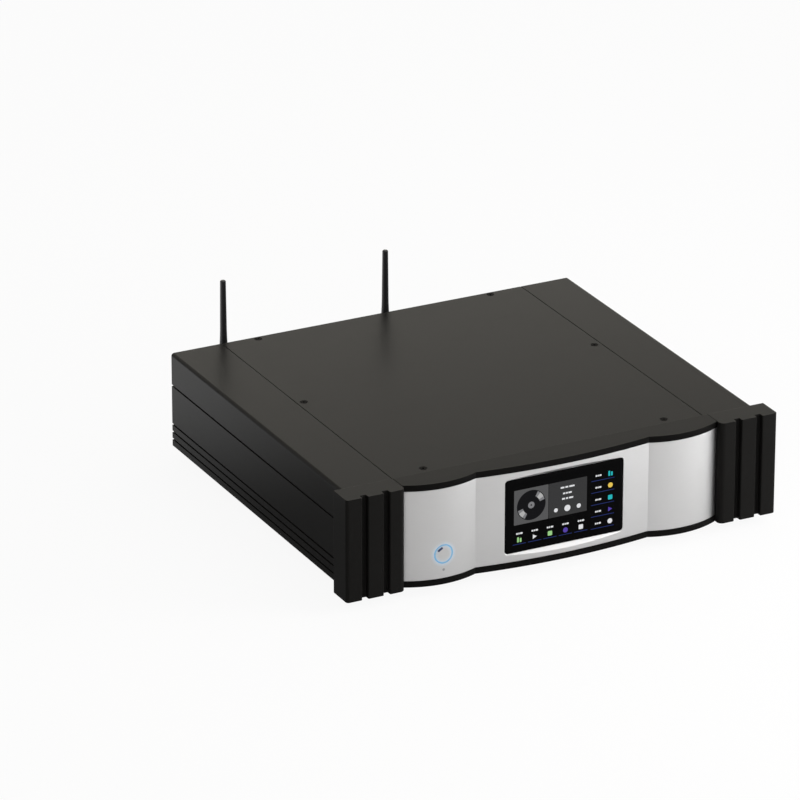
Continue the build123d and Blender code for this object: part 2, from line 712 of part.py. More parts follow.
def display_bracket():
    """A plate behind the LCD, with posts for the display board."""
    width, height = POCKET_WIDTH - 2 * FIT_GAP, POCKET_HEIGHT - 2 * FIT_GAP
    solid = plate_y(0, DISPLAY_Z, width, height, GLASS_RADIUS, LCD_BACK, BRACKET_BACK)
    for x, z in display_posts():
        solid += rod_y(x, z, BOARD_POST_RADIUS, BRACKET_BACK, DISPLAY_BOARD_FRONT)
    return solid


def display_board():
    back = DISPLAY_BOARD_FRONT + BOARD_THICKNESS
    width, height = DISPLAY_BOARD_WIDTH, DISPLAY_BOARD_HEIGHT
    board = plate_y(0, DISPLAY_Z, width, height, BOARD_POST_RADIUS, DISPLAY_BOARD_FRONT, back)
    half = DISPLAY_CHIP_SIZE / 2
    board += block(-half, half, back, back + CHIP_HEIGHT, DISPLAY_Z - half, DISPLAY_Z + half)
    plug = DISPLAY_Z - height / 2
    return board + block(-half, half, back, back + CHIP_HEIGHT, plug, plug + DISPLAY_PLUG_HEIGHT)


def lobed_rod(radius, z, setback, back):
    """A rod through the button lobe whose end follows the lobe."""
    lobe = lobed_solid(setback, FRONT_DEPTH, FRONT_LIFT, FRONT_TOP)
    return rod_y(BUTTON_X, z, radius, CENTRE_CREST, back) & lobe


def power_button():
    cap = lobed_rod(BUTTON_RADIUS, BUTTON_Z, LIP_PROUD, RIM_BACK)
    rim = rod_y(BUTTON_X, BUTTON_Z, RING_BORE + BUTTON_RIM, RIM_FRONT, RIM_BACK)
    stem = rod_y(BUTTON_X, BUTTON_Z, BUTTON_STEM_RADIUS, RIM_BACK, STEM_BACK)
    return cap + rim + stem


def button_light_ring():
    ring = lobed_rod(RING_RADIUS, BUTTON_Z, LIP_PROUD, RING_BACK)
    ring += rod_y(BUTTON_X, BUTTON_Z, RING_RADIUS + RING_FLANGE, RING_SEAT, RING_BACK)
    return ring - rod_y(BUTTON_X, BUTTON_Z, RING_BORE, CENTRE_CREST, FRONT_DEPTH)


def sensor_window():
    return lobed_rod(SENSOR_RADIUS, SENSOR_Z, LIP_PROUD, RING_BACK)


def tact_switch():
    half = SWITCH_SIZE / 2
    body = block(
        BUTTON_X - half, BUTTON_X + half, SWITCH_FRONT, SWITCH_BACK, BUTTON_Z - half, BUTTON_Z + half
    )
    guide = PLUNGER_RADIUS + BUTTON_RUNNING_GAP
    depth = PLUNGER_GUIDE + BUTTON_TRAVEL + BUTTON_RUNNING_GAP
    return body - rod_y(BUTTON_X, BUTTON_Z, guide, SWITCH_FRONT, SWITCH_FRONT + depth)


def button_board():
    """The board behind the button, with the switch, the ring's lamps and the sensor chip."""
    board = plate_y(
        BUTTON_X,
        BUTTON_BOARD_Z,
        BUTTON_BOARD_WIDTH,
        BUTTON_BOARD_HEIGHT,
        BOARD_POST_RADIUS,
        SWITCH_BACK,
        BUTTON_BOARD_BACK,
    )
    half = LAMP_SIZE / 2
    for x in both_sides([RING_RADIUS]):
        left = BUTTON_X + x - half
        front = SWITCH_BACK - LAMP_HEIGHT
        board += block(left, left + LAMP_SIZE, front, SWITCH_BACK, BUTTON_Z - half, BUTTON_Z + half)
    left = BUTTON_X - SENSOR_CHIP_WIDTH / 2
    low = SENSOR_Z - SENSOR_RADIUS
    board += block(
        left, left + SENSOR_CHIP_WIDTH, RING_BACK, SWITCH_BACK, low, low + SENSOR_CHIP_HEIGHT
    )
    return board + tact_switch()


def switch_plunger():
    return rod_y(BUTTON_X, BUTTON_Z, PLUNGER_RADIUS, STEM_BACK, SWITCH_FRONT + PLUNGER_GUIDE)


# Chassis


def side_panel():
    """The right side: an extrusion with a wall, a top strip and a ledge for the cover."""
    outline = make_face(
        Polyline(
            (SIDE_OUTSIDE, BASE_LIFT),
            (SIDE_OUTSIDE, CHASSIS_TOP),
            (SEAM_X, CHASSIS_TOP),
            (SEAM_X, COVER_UNDERSIDE),
            (LEDGE_INSIDE, COVER_UNDERSIDE),
            (LEDGE_INSIDE, STRIP_UNDERSIDE),
            (SIDE_INSIDE, STRIP_UNDERSIDE),
            (SIDE_INSIDE, BASE_LIFT),
            close=True,
        )
    )
    corners = outline.vertices().group_by(Axis.X)[-1].sort_by(Axis.Y)
    outline = fillet(corners[-1], TOP_EDGE_RADIUS)
    corners = outline.vertices().group_by(Axis.X)[-1].sort_by(Axis.Y)
    outline = chamfer(corners[0], BOTTOM_EDGE_BREAK)
    lifts = [LOW_GROOVE_LIFT + i * LOW_GROOVE_PITCH for i in range(LOW_GROOVES)] + [HIGH_GROOVE_LIFT]
    for lift in lifts:
        groove = Rectangle(2 * SIDE_GROOVE_DEPTH, SIDE_GROOVE_WIDTH)
        outline -= Pos(SIDE_OUTSIDE, BASE_LIFT + lift) * groove
    solid = section_y(outline, FRONT_DEPTH, REAR_FACE)
    lip_top = BASE_TOP + BASE_LIP_THICKNESS
    lip_left = SIDE_INSIDE - BASE_LIP_WIDTH
    solid += block(lip_left, SIDE_INSIDE, SUBPANEL_BACK, REAR_INSIDE, BASE_TOP, lip_top)
    half = SCREW_PORT / 2
    for x, z in port_spots():
        if x > 0:
            port = block(x - half, x + half, SUBPANEL_BACK, REAR_INSIDE, z - half, z + half)
            solid += port - rod_y(x, z, M3_RADIUS + THREAD_GAP, SUBPANEL_BACK, REAR_INSIDE)
    for x, y in cover_screw_spots():
        if x > LEDGE_INSIDE:
            solid -= rod_z(x, y, M3_RADIUS + THREAD_GAP, STRIP_UNDERSIDE, COVER_UNDERSIDE)
    for x, y in base_screw_spots():
        if x > 0:
            solid -= rod_z(x, y, M3_RADIUS + THREAD_GAP, BASE_TOP, lip_top)
    return solid


def top_cover():
    half = SEAM_X - SEAM_GAP
    solid = block(-half, half, FRONT_DEPTH + FIT_GAP, REAR_FACE, COVER_UNDERSIDE, CHASSIS_TOP)
    for x, y in cover_screw_spots():
        solid -= Pos(x, y, CHASSIS_TOP) * sunk_hole(COVER_THICKNESS)
    return solid


def end_panel(y0, y1, flange0, flange1):
    """A panel across one end of the chassis, with a flange under the cover."""
    half = SIDE_INSIDE - FIT_GAP
    tab = LEDGE_INSIDE - FIT_GAP
    solid = block(-half, half, y0, y1, BASE_LIFT, STRIP_UNDERSIDE - FIT_GAP)
    solid += block(-tab, tab, y0, y1, BASE_LIFT, COVER_UNDERSIDE)
    flange_underside = COVER_UNDERSIDE - COVER_FLANGE_THICKNESS
    solid += block(-tab, tab, flange0, flange1, flange_underside, COVER_UNDERSIDE)
    hole_bottom = CHASSIS_TOP - COVER_SCREW_LENGTH
    for x, y in cover_screw_spots():
        if abs(x) < tab:
            solid -= rod_z(x, y, M3_RADIUS + THREAD_GAP, hole_bottom, COVER_UNDERSIDE)
    return solid


def front_subpanel():
    """The plate that carries the front; the display's cables pass through its window."""
    solid = end_panel(FRONT_DEPTH, SUBPANEL_BACK, SUBPANEL_BACK, SUBPANEL_BACK + COVER_FLANGE_DEPTH)
    width, height = DISPLAY_BOARD_WIDTH, DISPLAY_BOARD_HEIGHT
    solid -= plate_y(0, DISPLAY_Z, width, height, BOARD_POST_RADIUS, FRONT_DEPTH, SUBPANEL_BACK)
    for x, z in front_screw_spots():
        solid -= rod_y(x, z, M4_RADIUS + FIT_GAP, FRONT_DEPTH, SUBPANEL_BACK)
    for x, z in port_spots():
        solid -= Pos(x, FRONT_DEPTH, z) * Rot(90, 0, 0) * sunk_hole(SUBPANEL_THICKNESS)
    return solid


def rear_panel():
    """The rear plate with a cut-out for each socket."""
    solid = end_panel(REAR_INSIDE, REAR_FACE, REAR_INSIDE - COVER_FLANGE_DEPTH, REAR_INSIDE)
    cuts = [rod_y(x, z, M3_RADIUS + FIT_GAP, REAR_INSIDE, REAR_FACE) for x, z in port_spots()]
    for x in XLR_XS:
        cuts.append(rod_y(x, XLR_Z, XLR_NECK_RADIUS + SOCKET_GAP, REAR_INSIDE, REAR_FACE))
    for x in PHONO_XS:
        cuts.append(rod_y(x, PHONO_Z, PHONO_NECK_RADIUS + SOCKET_GAP, REAR_INSIDE, REAR_FACE))
    cuts.append(shell_cut(OPTICAL_X, OPTICAL_SIZE, OPTICAL_SIZE))
    cuts.append(shell_cut(NETWORK_X, NETWORK_WIDTH, NETWORK_HEIGHT))
    for x in USB_XS:
        cuts.append(shell_cut(x, USB_WIDTH, USB_HEIGHT))
    half_width = INLET_BODY_WIDTH / 2 + SOCKET_GAP
    half_height = INLET_BODY_HEIGHT / 2 + SOCKET_GAP
    cuts.append(
        block(
            INLET_X - half_width,
            INLET_X + half_width,
            REAR_INSIDE,
            REAR_FACE,
            INLET_Z - half_height,
            INLET_Z + half_height,
        )
    )
    for x in both_sides([INLET_SCREW_SPREAD]):
        cuts.append(rod_y(INLET_X + x, INLET_Z, M3_RADIUS + THREAD_GAP, REAR_INSIDE, REAR_FACE))
    half_width = FRAME_WELL_WIDTH / 2 + FRAME_WALL + SOCKET_GAP
    half_height = FRAME_WELL_HEIGHT / 2 + FRAME_WALL + SOCKET_GAP
    cuts.append(
        block(
            ROCKER_X - half_width,
            ROCKER_X + half_width,
            REAR_INSIDE,
            REAR_FACE,
            INLET_Z - half_height,
            INLET_Z + half_height,
        )
    )
    for x in ANTENNA_XS.values():
        cuts.append(rod_y(x, ANTENNA_LIFT, JACK_RADIUS + THREAD_GAP, REAR_INSIDE, REAR_FACE))
    for cut in cuts:
        solid -= cut
    return solid


def shell_cut(x, width, height):
    """A cut-out for a socket that stands on a board."""
    half = width / 2 + SOCKET_GAP
    low, high = BOARD_TOP - SOCKET_GAP, BOARD_TOP + height + SOCKET_GAP
    return block(x - half, x + half, REAR_INSIDE, REAR_FACE, low, high)


def base_plate():
    """A folded sheet with a flange at each end, vents and holes for the feet."""
    half = SIDE_INSIDE - FIT_GAP
    front, rear = SUBPANEL_BACK, REAR_INSIDE
    solid = block(-half, half, front, rear, BASE_LIFT, BASE_TOP)
    flange_top = BASE_TOP + BASE_FLANGE_HEIGHT
    reach = SIDE_INSIDE - BASE_LIP_WIDTH - SCREW_PORT
    solid += block(-reach, reach, front, front + BASE_FLANGE_THICKNESS, BASE_TOP, flange_top)
    standing = BASE_TOP + STANDOFF_HEIGHT - FIT_GAP
    solid += block(-reach, reach, rear - BASE_FLANGE_THICKNESS, rear, BASE_TOP, standing)
    for x, y in foot_spots():
        solid -= rod_z(x, y, M4_RADIUS + FIT_GAP, BASE_LIFT, BASE_TOP)
    for x, y in base_screw_spots():
        solid -= rod_z(x, y, M3_RADIUS + FIT_GAP, BASE_LIFT, BASE_TOP)
    first = -VENT_PITCH * (VENTS - 1) / 2
    middle = (SUBPANEL_BACK + MAIN_BOARD[2]) / 2
    for i in range(VENTS):
        left = first + i * VENT_PITCH - VENT_WIDTH / 2
        vent_front = middle - VENT_LENGTH / 2
        vent_rear = middle + VENT_LENGTH / 2
        solid -= block(left, left + VENT_WIDTH, vent_front, vent_rear, BASE_LIFT, BASE_TOP)
    solid -= rod_z(TOROID_X, TOROID_Y, BOLT_RADIUS + THREAD_GAP, BASE_LIFT, BASE_TOP)
    return solid


def foot_cup():
    """A turned foot with a recess for the pad and a blind hole for its screw."""
    bottom = PAD_HEIGHT - FOOT_RECESS
    profile = make_face(
        Polyline(
            (0, bottom),
            (FOOT_RADIUS, bottom),
            (FOOT_RADIUS + FOOT_FLARE, bottom + FOOT_FLARE),
            (FOOT_RADIUS, BASE_LIFT),
            (0, BASE_LIFT),
            close=True,
        )
    )
    solid = revolve(Plane.XZ * profile, Axis.Z)
    solid -= rod_z(0, 0, PAD_RADIUS + FIT_GAP, bottom, PAD_HEIGHT)
    hole_bottom = BASE_TOP - FOOT_SCREW_LENGTH
    return solid - rod_z(0, 0, M4_RADIUS + THREAD_GAP, hole_bottom, BASE_LIFT)


def foot_pad():
    solid = rod_z(0, 0, PAD_RADIUS, 0, PAD_HEIGHT)
    return chamfer(solid.edges().group_by(Axis.Z)[0], PAD_EDGE_BREAK)


# Boards and power supply


def board_plate(board):
    left, right, front, rear = board
    plate = block(left, right, front, rear, BOARD_UNDERSIDE, BOARD_TOP)
    for x, y in standoff_spots(board):
        plate -= rod_z(x, y, M3_RADIUS + FIT_GAP, BOARD_UNDERSIDE, BOARD_TOP)
    return plate


def standoffs():
    posts = []
    for board in BOARDS:
        for x, y in standoff_spots(board):
            post = rod_z(x, y, STANDOFF_RADIUS, BASE_TOP, BOARD_UNDERSIDE)
            hole_bottom = BOARD_TOP - BOARD_SCREW_LENGTH
            posts.append(post - rod_z(x, y, M3_RADIUS + THREAD_GAP, hole_bottom, BOARD_UNDERSIDE))
    return group(posts)


def board_screws():
    screw = m3_screw(BOARD_SCREW_LENGTH)
    return group([Pos(x, y, BOARD_TOP) * screw for board in BOARDS for x, y in standoff_spots(board)])


def board_middle(board):
    left, right, front, rear = board
    return (left + right) / 2, (front + rear) / 2


def square_chip(x, y, size, height):
    half = size / 2
    return block(x - half, x + half, y - half, y + half, BOARD_TOP, BOARD_TOP + height)


def main_board():
    """The computer board with its processor and memory soldered on."""
    x, y = board_middle(MAIN_BOARD)
    board = board_plate(MAIN_BOARD) + square_chip(x, y, PROCESSOR_SIZE, CHIP_HEIGHT)
    memory_x = x + HEATSINK_SIZE / 2 + MEMORY_SIZE
    for spread in both_sides([MEMORY_SPREAD]):
        board += square_chip(memory_x, y + spread, MEMORY_SIZE, MEMORY_HEIGHT)
    return board


def comb(width, depth, base, height, fins):
    """A finned heatsink that stands on the origin, its fins running along Y."""
    solid = block(-width / 2, width / 2, -depth / 2, depth / 2, 0, base)
    pitch = (width - FIN_THICKNESS) / (fins - 1)
    for i in range(fins):
        left = -width / 2 + i * pitch
        solid += block(left, left + FIN_THICKNESS, -depth / 2, depth / 2, base, height)
    return solid


def processor_heatsink():
    x, y = board_middle(MAIN_BOARD)
    sink = comb(HEATSINK_SIZE, HEATSINK_SIZE, HEATSINK_BASE, HEATSINK_HEIGHT, HEATSINK_FINS)
    return Pos(x, y, BOARD_TOP + CHIP_HEIGHT) * sink


def radio_place():
    """Where the radio module lies on the main board: its left front corner."""
    return MAIN_BOARD[0] + RADIO_INSET, MAIN_BOARD[2] + RADIO_INSET


def radio_module():
    """The radio module under its shield, with two small aerial connectors."""
    x, y = radio_place()
    can = block(x, x + RADIO_WIDTH, y, y + RADIO_DEPTH, BOARD_TOP, BOARD_TOP + RADIO_HEIGHT)
    return fillet(can.edges().group_by(Axis.Z)[-1], RADIO_EDGE_RADIUS)


def dac_board():
    """The audio board with its converter chip and film capacitors soldered on."""
    x, y = board_middle(DAC_BOARD)
    board = board_plate(DAC_BOARD) + square_chip(x, y, CONVERTER_SIZE, CHIP_HEIGHT)
    pitch = 2 * FILM_RADIUS + FILM_GAP
    first = x - pitch * (FILM_CAPACITORS - 1) / 2
    for i in range(FILM_CAPACITORS):
        spot = first + i * pitch
        board += rod_z(spot, y - FILM_SETBACK, FILM_RADIUS, BOARD_TOP, BOARD_TOP + FILM_HEIGHT)
    return board


def supply_capacitors():
    x, y = board_middle(SUPPLY_BOARD)
    can = rod_z(x, y, CAPACITOR_RADIUS, BOARD_TOP, BOARD_TOP + CAPACITOR_HEIGHT)
    steps = both_sides([CAPACITOR_RADIUS + CAPACITOR_GAP / 2])
    return group([Pos(i, j, 0) * can for i in steps for j in steps])


def supply_heatsink():
    """The upright heatsink of the regulators, beside the capacitors."""
    x, middle = board_middle(SUPPLY_BOARD)
    y0, y1 = middle - SUPPLY_SINK_DEPTH / 2, middle + SUPPLY_SINK_DEPTH / 2
    cans_left = x - 2 * CAPACITOR_RADIUS - CAPACITOR_GAP / 2
    spine_right = cans_left - SUPPLY_SINK_GAP - SUPPLY_SINK_WIDTH
    top = BOARD_TOP + SUPPLY_SINK_HEIGHT
    solid = block(spine_right - FIN_THICKNESS, spine_right, y0, y1, BOARD_TOP, top)
    pitch = (SUPPLY_SINK_DEPTH - FIN_THICKNESS) / (SUPPLY_SINK_FINS - 1)
    for i in range(SUPPLY_SINK_FINS):
        y = y0 + i * pitch
        solid += block(spine_right, spine_right + SUPPLY_SINK_WIDTH, y, y + FIN_THICKNESS, BOARD_TOP, top)
    return solid


TOROID_X = SIDE_INSIDE - BASE_LIP_WIDTH - TOROID_SIDE_GAP - TOROID_RADIUS
TOROID_Y = SUPPLY_BOARD[2] - TOROID_REAR_GAP - TOROID_RADIUS
TOROID_BOTTOM = BASE_TOP + TOROID_PAD_HEIGHT
TOROID_TOP = TOROID_BOTTOM + TOROID_HEIGHT


def toroid():
    width = TOROID_RADIUS - TOROID_BORE
    section = RectangleRounded(width, TOROID_HEIGHT, TOROID_ROUND)
    middle = Pos((TOROID_RADIUS + TOROID_BORE) / 2, TOROID_BOTTOM + TOROID_HEIGHT / 2) * section
    return Pos(TOROID_X, TOROID_Y, 0) * revolve(Plane.XZ * middle, Axis.Z)


def toroid_pad():
    pad = rod_z(TOROID_X, TOROID_Y, TOROID_PAD_RADIUS, BASE_TOP, TOROID_BOTTOM)
    return pad - rod_z(TOROID_X, TOROID_Y, BOLT_RADIUS + FIT_GAP, BASE_TOP, TOROID_BOTTOM)


def toroid_dish():
    dish = rod_z(TOROID_X, TOROID_Y, DISH_RADIUS, TOROID_TOP, TOROID_TOP + DISH_THICKNESS)
    return dish - rod_z(TOROID_X, TOROID_Y, BOLT_RADIUS + FIT_GAP, TOROID_TOP, TOROID_TOP + DISH_THICKNESS)


def toroid_bolt():
    seat = TOROID_TOP + DISH_THICKNESS
    head = extrude(Pos(0, 0, seat) * RegularPolygon(BOLT_HEAD_RADIUS, 6), amount=BOLT_HEAD_HEIGHT)
    return Pos(TOROID_X, TOROID_Y, 0) * (head + rod_z(0, 0, BOLT_RADIUS, BASE_LIFT, seat))


# Rear sockets


def xlr_socket(x):
    """A three-pin output socket: square flange, deep round cup."""
    outside = REAR_FACE + XLR_FLANGE_THICKNESS
    half = XLR_NECK_RADIUS
    body_front = REAR_INSIDE - XLR_BODY_DEPTH
    solid = plate_y(x, XLR_Z, XLR_FLANGE_WIDTH, XLR_FLANGE_HEIGHT, FLANGE_CORNER, REAR_FACE, outside)
    solid += rod_y(x, XLR_Z, half, REAR_INSIDE, REAR_FACE)
    solid += block(x - half, x + half, body_front, REAR_INSIDE, BOARD_TOP, XLR_Z + half)
    solid -= rod_y(x, XLR_Z, XLR_CUP_RADIUS, outside - XLR_CUP_DEPTH, outside)
    for px, pz in xlr_pin_spots(x):
        floor = outside - XLR_CUP_DEPTH
        solid -= rod_y(px, pz, XLR_PIN_RADIUS + THREAD_GAP, floor - XLR_PIN_ROOT, floor)
    return solid


def xlr_pin_spots(x):
    turns = [math.radians(XLR_FIRST_PIN + i * 360 / XLR_PINS) for i in range(XLR_PINS)]
    return [(x + XLR_PIN_CIRCLE * math.cos(t), XLR_Z + XLR_PIN_CIRCLE * math.sin(t)) for t in turns]


def xlr_pins():
    floor = REAR_FACE + XLR_FLANGE_THICKNESS - XLR_CUP_DEPTH
    spots = [spot for x in XLR_XS for spot in xlr_pin_spots(x)]
    return group(
        [rod_y(px, pz, XLR_PIN_RADIUS, floor - XLR_PIN_ROOT, REAR_FACE) for px, pz in spots]
    )


def phono_socket(x):
    half = PHONO_BODY_WIDTH / 2
    body_front = REAR_INSIDE - PHONO_BODY_DEPTH
    solid = block(x - half, x + half, body_front, REAR_INSIDE, BOARD_TOP, PHONO_Z + half)
    solid += rod_y(x, PHONO_Z, PHONO_NECK_RADIUS, REAR_INSIDE, REAR_FACE)
    return solid + rod_y(x, PHONO_Z, PHONO_RING_RADIUS, REAR_FACE, REAR_FACE + PHONO_RING_THICKNESS)


def phono_barrel(x):
    seat = REAR_FACE + PHONO_RING_THICKNESS
    tip = seat + PHONO_BARREL_LENGTH
    barrel = rod_y(x, PHONO_Z, PHONO_BARREL_RADIUS, seat, tip)
    barrel = chamfer(barrel.edges().group_by(Axis.Y)[-1], PHONO_EDGE_BREAK)
    return barrel - rod_y(x, PHONO_Z, PHONO_BORE_RADIUS, seat + PHONO_BORE_FLOOR, tip)


def optical_socket():
    """A square light socket with its hinged shutter shut."""
    half = OPTICAL_SIZE / 2
    body_front = REAR_INSIDE - OPTICAL_BODY_DEPTH
    tip = REAR_FACE + OPTICAL_PROUD
    solid = block(
        OPTICAL_X - half, OPTICAL_X + half, body_front, tip, BOARD_TOP, BOARD_TOP + OPTICAL_SIZE
    )
    door = OPTICAL_DOOR_WIDTH / 2
    middle = BOARD_TOP + half
    return solid - block(
        OPTICAL_X - door, OPTICAL_X + door, tip - OPTICAL_DOOR_DEPTH, tip, middle - door, middle + door
    )


def network_socket():
    half = NETWORK_WIDTH / 2
    mouth = NETWORK_MOUTH_WIDTH / 2
    tip = REAR_FACE + SHELL_PROUD
    low = BOARD_TOP + (NETWORK_HEIGHT - NETWORK_MOUTH_HEIGHT) / 2
    solid = block(
        NETWORK_X - half,
        NETWORK_X + half,
        REAR_INSIDE - NETWORK_DEPTH,
        tip,
        BOARD_TOP,
        BOARD_TOP + NETWORK_HEIGHT,
    )
    return solid - block(
        NETWORK_X - mouth, NETWORK_X + mouth, tip - NETWORK_MOUTH_DEPTH, tip, low, low + NETWORK_MOUTH_HEIGHT
    )


def usb_mouths():
    """The lower edge of each mouth in a stack."""
    gap = (USB_HEIGHT - USB_MOUTHS * USB_MOUTH_HEIGHT) / (USB_MOUTHS + 1)
    return [BOARD_TOP + gap + i * (USB_MOUTH_HEIGHT + gap) for i in range(USB_MOUTHS)]


def usb_stack(x):
    half = USB_WIDTH / 2
    mouth = USB_MOUTH_WIDTH / 2
    tip = REAR_FACE + SHELL_PROUD
    solid = block(x - half, x + half, REAR_INSIDE - USB_DEPTH, tip, BOARD_TOP, BOARD_TOP + USB_HEIGHT)
    tongue = USB_TONGUE_WIDTH / 2
    floor = tip - USB_MOUTH_DEPTH
    for low in usb_mouths():
        solid -= block(x - mouth, x + mouth, floor, tip, low, low + USB_MOUTH_HEIGHT)
        under = low + USB_MOUTH_HEIGHT / 2
        solid += block(x - tongue, x + tongue, floor, REAR_FACE, under, under + USB_TONGUE_THICKNESS)
    return solid


def mains_inlet():
    """An appliance inlet: flange outside, moulded body through the panel."""
    tip = REAR_FACE + INLET_FLANGE_THICKNESS
    half_width, half_height = INLET_BODY_WIDTH / 2, INLET_BODY_HEIGHT / 2
    solid = plate_y(
        INLET_X, INLET_Z, INLET_FLANGE_WIDTH, INLET_FLANGE_HEIGHT, FLANGE_CORNER, REAR_FACE, tip
    )
    solid += block(
        INLET_X - half_width,
        INLET_X + half_width,
        REAR_INSIDE - INLET_BODY_DEPTH,
        REAR_FACE,
        INLET_Z - half_height,
        INLET_Z + half_height,
    )
    floor = tip - INLET_MOUTH_DEPTH
    solid -= plate_y(
        INLET_X, INLET_Z, INLET_MOUTH_WIDTH, INLET_MOUTH_HEIGHT, INLET_MOUTH_RADIUS, floor, tip
    )
    for x in both_sides([INLET_SCREW_SPREAD]):
        solid -= rod_y(INLET_X + x, INLET_Z, M3_RADIUS + FIT_GAP, REAR_FACE, tip)
        solid -= Pos(INLET_X + x, tip, INLET_Z) * Rot(-90, 0, 0) * sunk_cone(FIT_GAP)
    for x, z in blade_spots():
        width, height = BLADE_WIDTH / 2 + THREAD_GAP, BLADE_HEIGHT / 2 + THREAD_GAP
        solid -= block(x - width, x + width, floor - BLADE_ROOT, floor, z - height, z + height)
    return solid


def blade_spots():
    low = INLET_Z - BLADE_STEP
    return [(INLET_X - BLADE_SPREAD, low), (INLET_X, INLET_Z + BLADE_STEP), (INLET_X + BLADE_SPREAD, low)]


def inlet_blades():
    floor = REAR_FACE + INLET_FLANGE_THICKNESS - INLET_MOUTH_DEPTH
    width, height = BLADE_WIDTH / 2, BLADE_HEIGHT / 2
    return group(
        [
            block(x - width, x + width, floor - BLADE_ROOT, REAR_FACE, z - height, z + height)
            for x, z in blade_spots()
        ]
    )


def rocker_frame():
    """The bezel and the well that the rocker tips in."""
    half_width, half_height = FRAME_WELL_WIDTH / 2, FRAME_WELL_HEIGHT / 2
    solid = plate_y(
        ROCKER_X,
        INLET_Z,
        2 * FRAME_HALF_WIDTH,
        FRAME_WELL_HEIGHT + 2 * (FRAME_WALL + FRAME_BEZEL),
        FRAME_WALL,
        REAR_FACE,
        REAR_FACE + FRAME_BEZEL_THICKNESS,
    )
    solid += block(
        ROCKER_X - half_width - FRAME_WALL,
        ROCKER_X + half_width + FRAME_WALL,
        REAR_INSIDE - FRAME_DEPTH,
        REAR_FACE,
        INLET_Z - half_height - FRAME_WALL,
        INLET_Z + half_height + FRAME_WALL,
    )
    solid -= block(
        ROCKER_X - half_width,
        ROCKER_X + half_width,
        REAR_INSIDE - FRAME_DEPTH + FRAME_WALL,
        REAR_FACE + FRAME_BEZEL_THICKNESS,
        INLET_Z - half_height,
        INLET_Z + half_height,
    )
    reach = half_width + TRUNNION_REACH
    return solid - rod_x(
        PIVOT_Y, INLET_Z, TRUNNION_RADIUS + TRUNNION_GAP, ROCKER_X - reach, ROCKER_X + reach
    )


def mains_rocker():
    """The rocker, tipped to one end of its throw, with a trunnion each side."""
    half = ROCKER_HEIGHT / 2
    heel = ROCKER_HEEL_HEIGHT / 2
    outline = make_face(
        Polyline(
            (ROCKER_PIVOT_DEPTH + ROCKER_PEAK, -half),
            (ROCKER_PIVOT_DEPTH + ROCKER_VALLEY, 0),
            (ROCKER_PIVOT_DEPTH + ROCKER_PEAK, half),
            (0, half),
            (-ROCKER_BODY_DEPTH, heel),
            (-ROCKER_BODY_DEPTH, -heel),
            (0, -half),
            close=True,
        )
    )
    side = Plane(origin=(-ROCKER_WIDTH / 2, 0, 0), x_dir=(0, 1, 0), z_dir=(1, 0, 0))
    solid = extrude(side * outline, amount=ROCKER_WIDTH)
    reach = FRAME_WELL_WIDTH / 2 + TRUNNION_REACH - ROCKER_SIDE_GAP
    solid += rod_x(0, 0, TRUNNION_RADIUS, -reach, reach)
    return Pos(ROCKER_X, PIVOT_Y, INLET_Z) * Rot(-ROCKER_THROW / 2, 0, 0) * solid


# Antennas


def antenna_jack(x):
    inner = rod_y(x, ANTENNA_LIFT, JACK_INNER_RADIUS, REAR_INSIDE - JACK_INNER_LENGTH, REAR_INSIDE)
    return inner + rod_y(x, ANTENNA_LIFT, JACK_RADIUS, REAR_INSIDE, REAR_FACE + JACK_LENGTH)


def jack_nut(x):
    face = Plane(origin=(x, REAR_FACE, ANTENNA_LIFT), x_dir=(1, 0, 0), z_dir=(0, 1, 0))
    corner_radius = JACK_NUT_FLATS / 2 / math.cos(math.pi / 6)
    nut = extrude(face * RegularPolygon(corner_radius, 6), amount=JACK_NUT_THICKNESS)
    return nut - rod_y(x, ANTENNA_LIFT, JACK_RADIUS + THREAD_GAP, REAR_FACE, HINGE_Y)


def antenna_base(x):
    """The swivelling base: a sleeve over the jack and a fork for the whip."""
    start = REAR_FACE + JACK_NUT_THICKNESS + SLEEVE_STANDOFF
    bore_end = REAR_FACE + JACK_LENGTH + SLEEVE_STANDOFF
    disc_end = bore_end + SLEEVE_END
    sleeve = rod_y(x, ANTENNA_LIFT, SLEEVE_RADIUS, start, disc_end)
    sleeve -= rod_y(x, ANTENNA_LIFT, JACK_RADIUS + SLEEVE_GAP, start, bore_end)
    inside = TONGUE_THICKNESS / 2 + TONGUE_SIDE_GAP
    outside = inside + EAR_THICKNESS
    fork = block(
        x - outside,
        x + outside,
        bore_end,
        HINGE_Y,
        ANTENNA_LIFT - KNUCKLE_RADIUS,
        ANTENNA_LIFT + KNUCKLE_RADIUS,
    )
    fork += rod_x(HINGE_Y, ANTENNA_LIFT, KNUCKLE_RADIUS, x - outside, x + outside)
    fork &= rod_y(x, ANTENNA_LIFT, KNUCKLE_ROUND, bore_end, HINGE_Y + KNUCKLE_RADIUS)
    fork -= block(
        x - inside,
        x + inside,
        disc_end,
        HINGE_Y + KNUCKLE_RADIUS,
        ANTENNA_LIFT - KNUCKLE_ROUND,
        ANTENNA_LIFT + KNUCKLE_ROUND,
    )
    fork -= rod_x(HINGE_Y, ANTENNA_LIFT, HINGE_PIN_RADIUS + THREAD_GAP, x - outside, x + outside)
    return sleeve + fork


def antenna_pin(x):
    reach = TONGUE_THICKNESS / 2 + TONGUE_SIDE_GAP + EAR_THICKNESS - FIT_GAP
    return rod_x(HINGE_Y, ANTENNA_LIFT, HINGE_PIN_RADIUS, x - reach, x + reach)


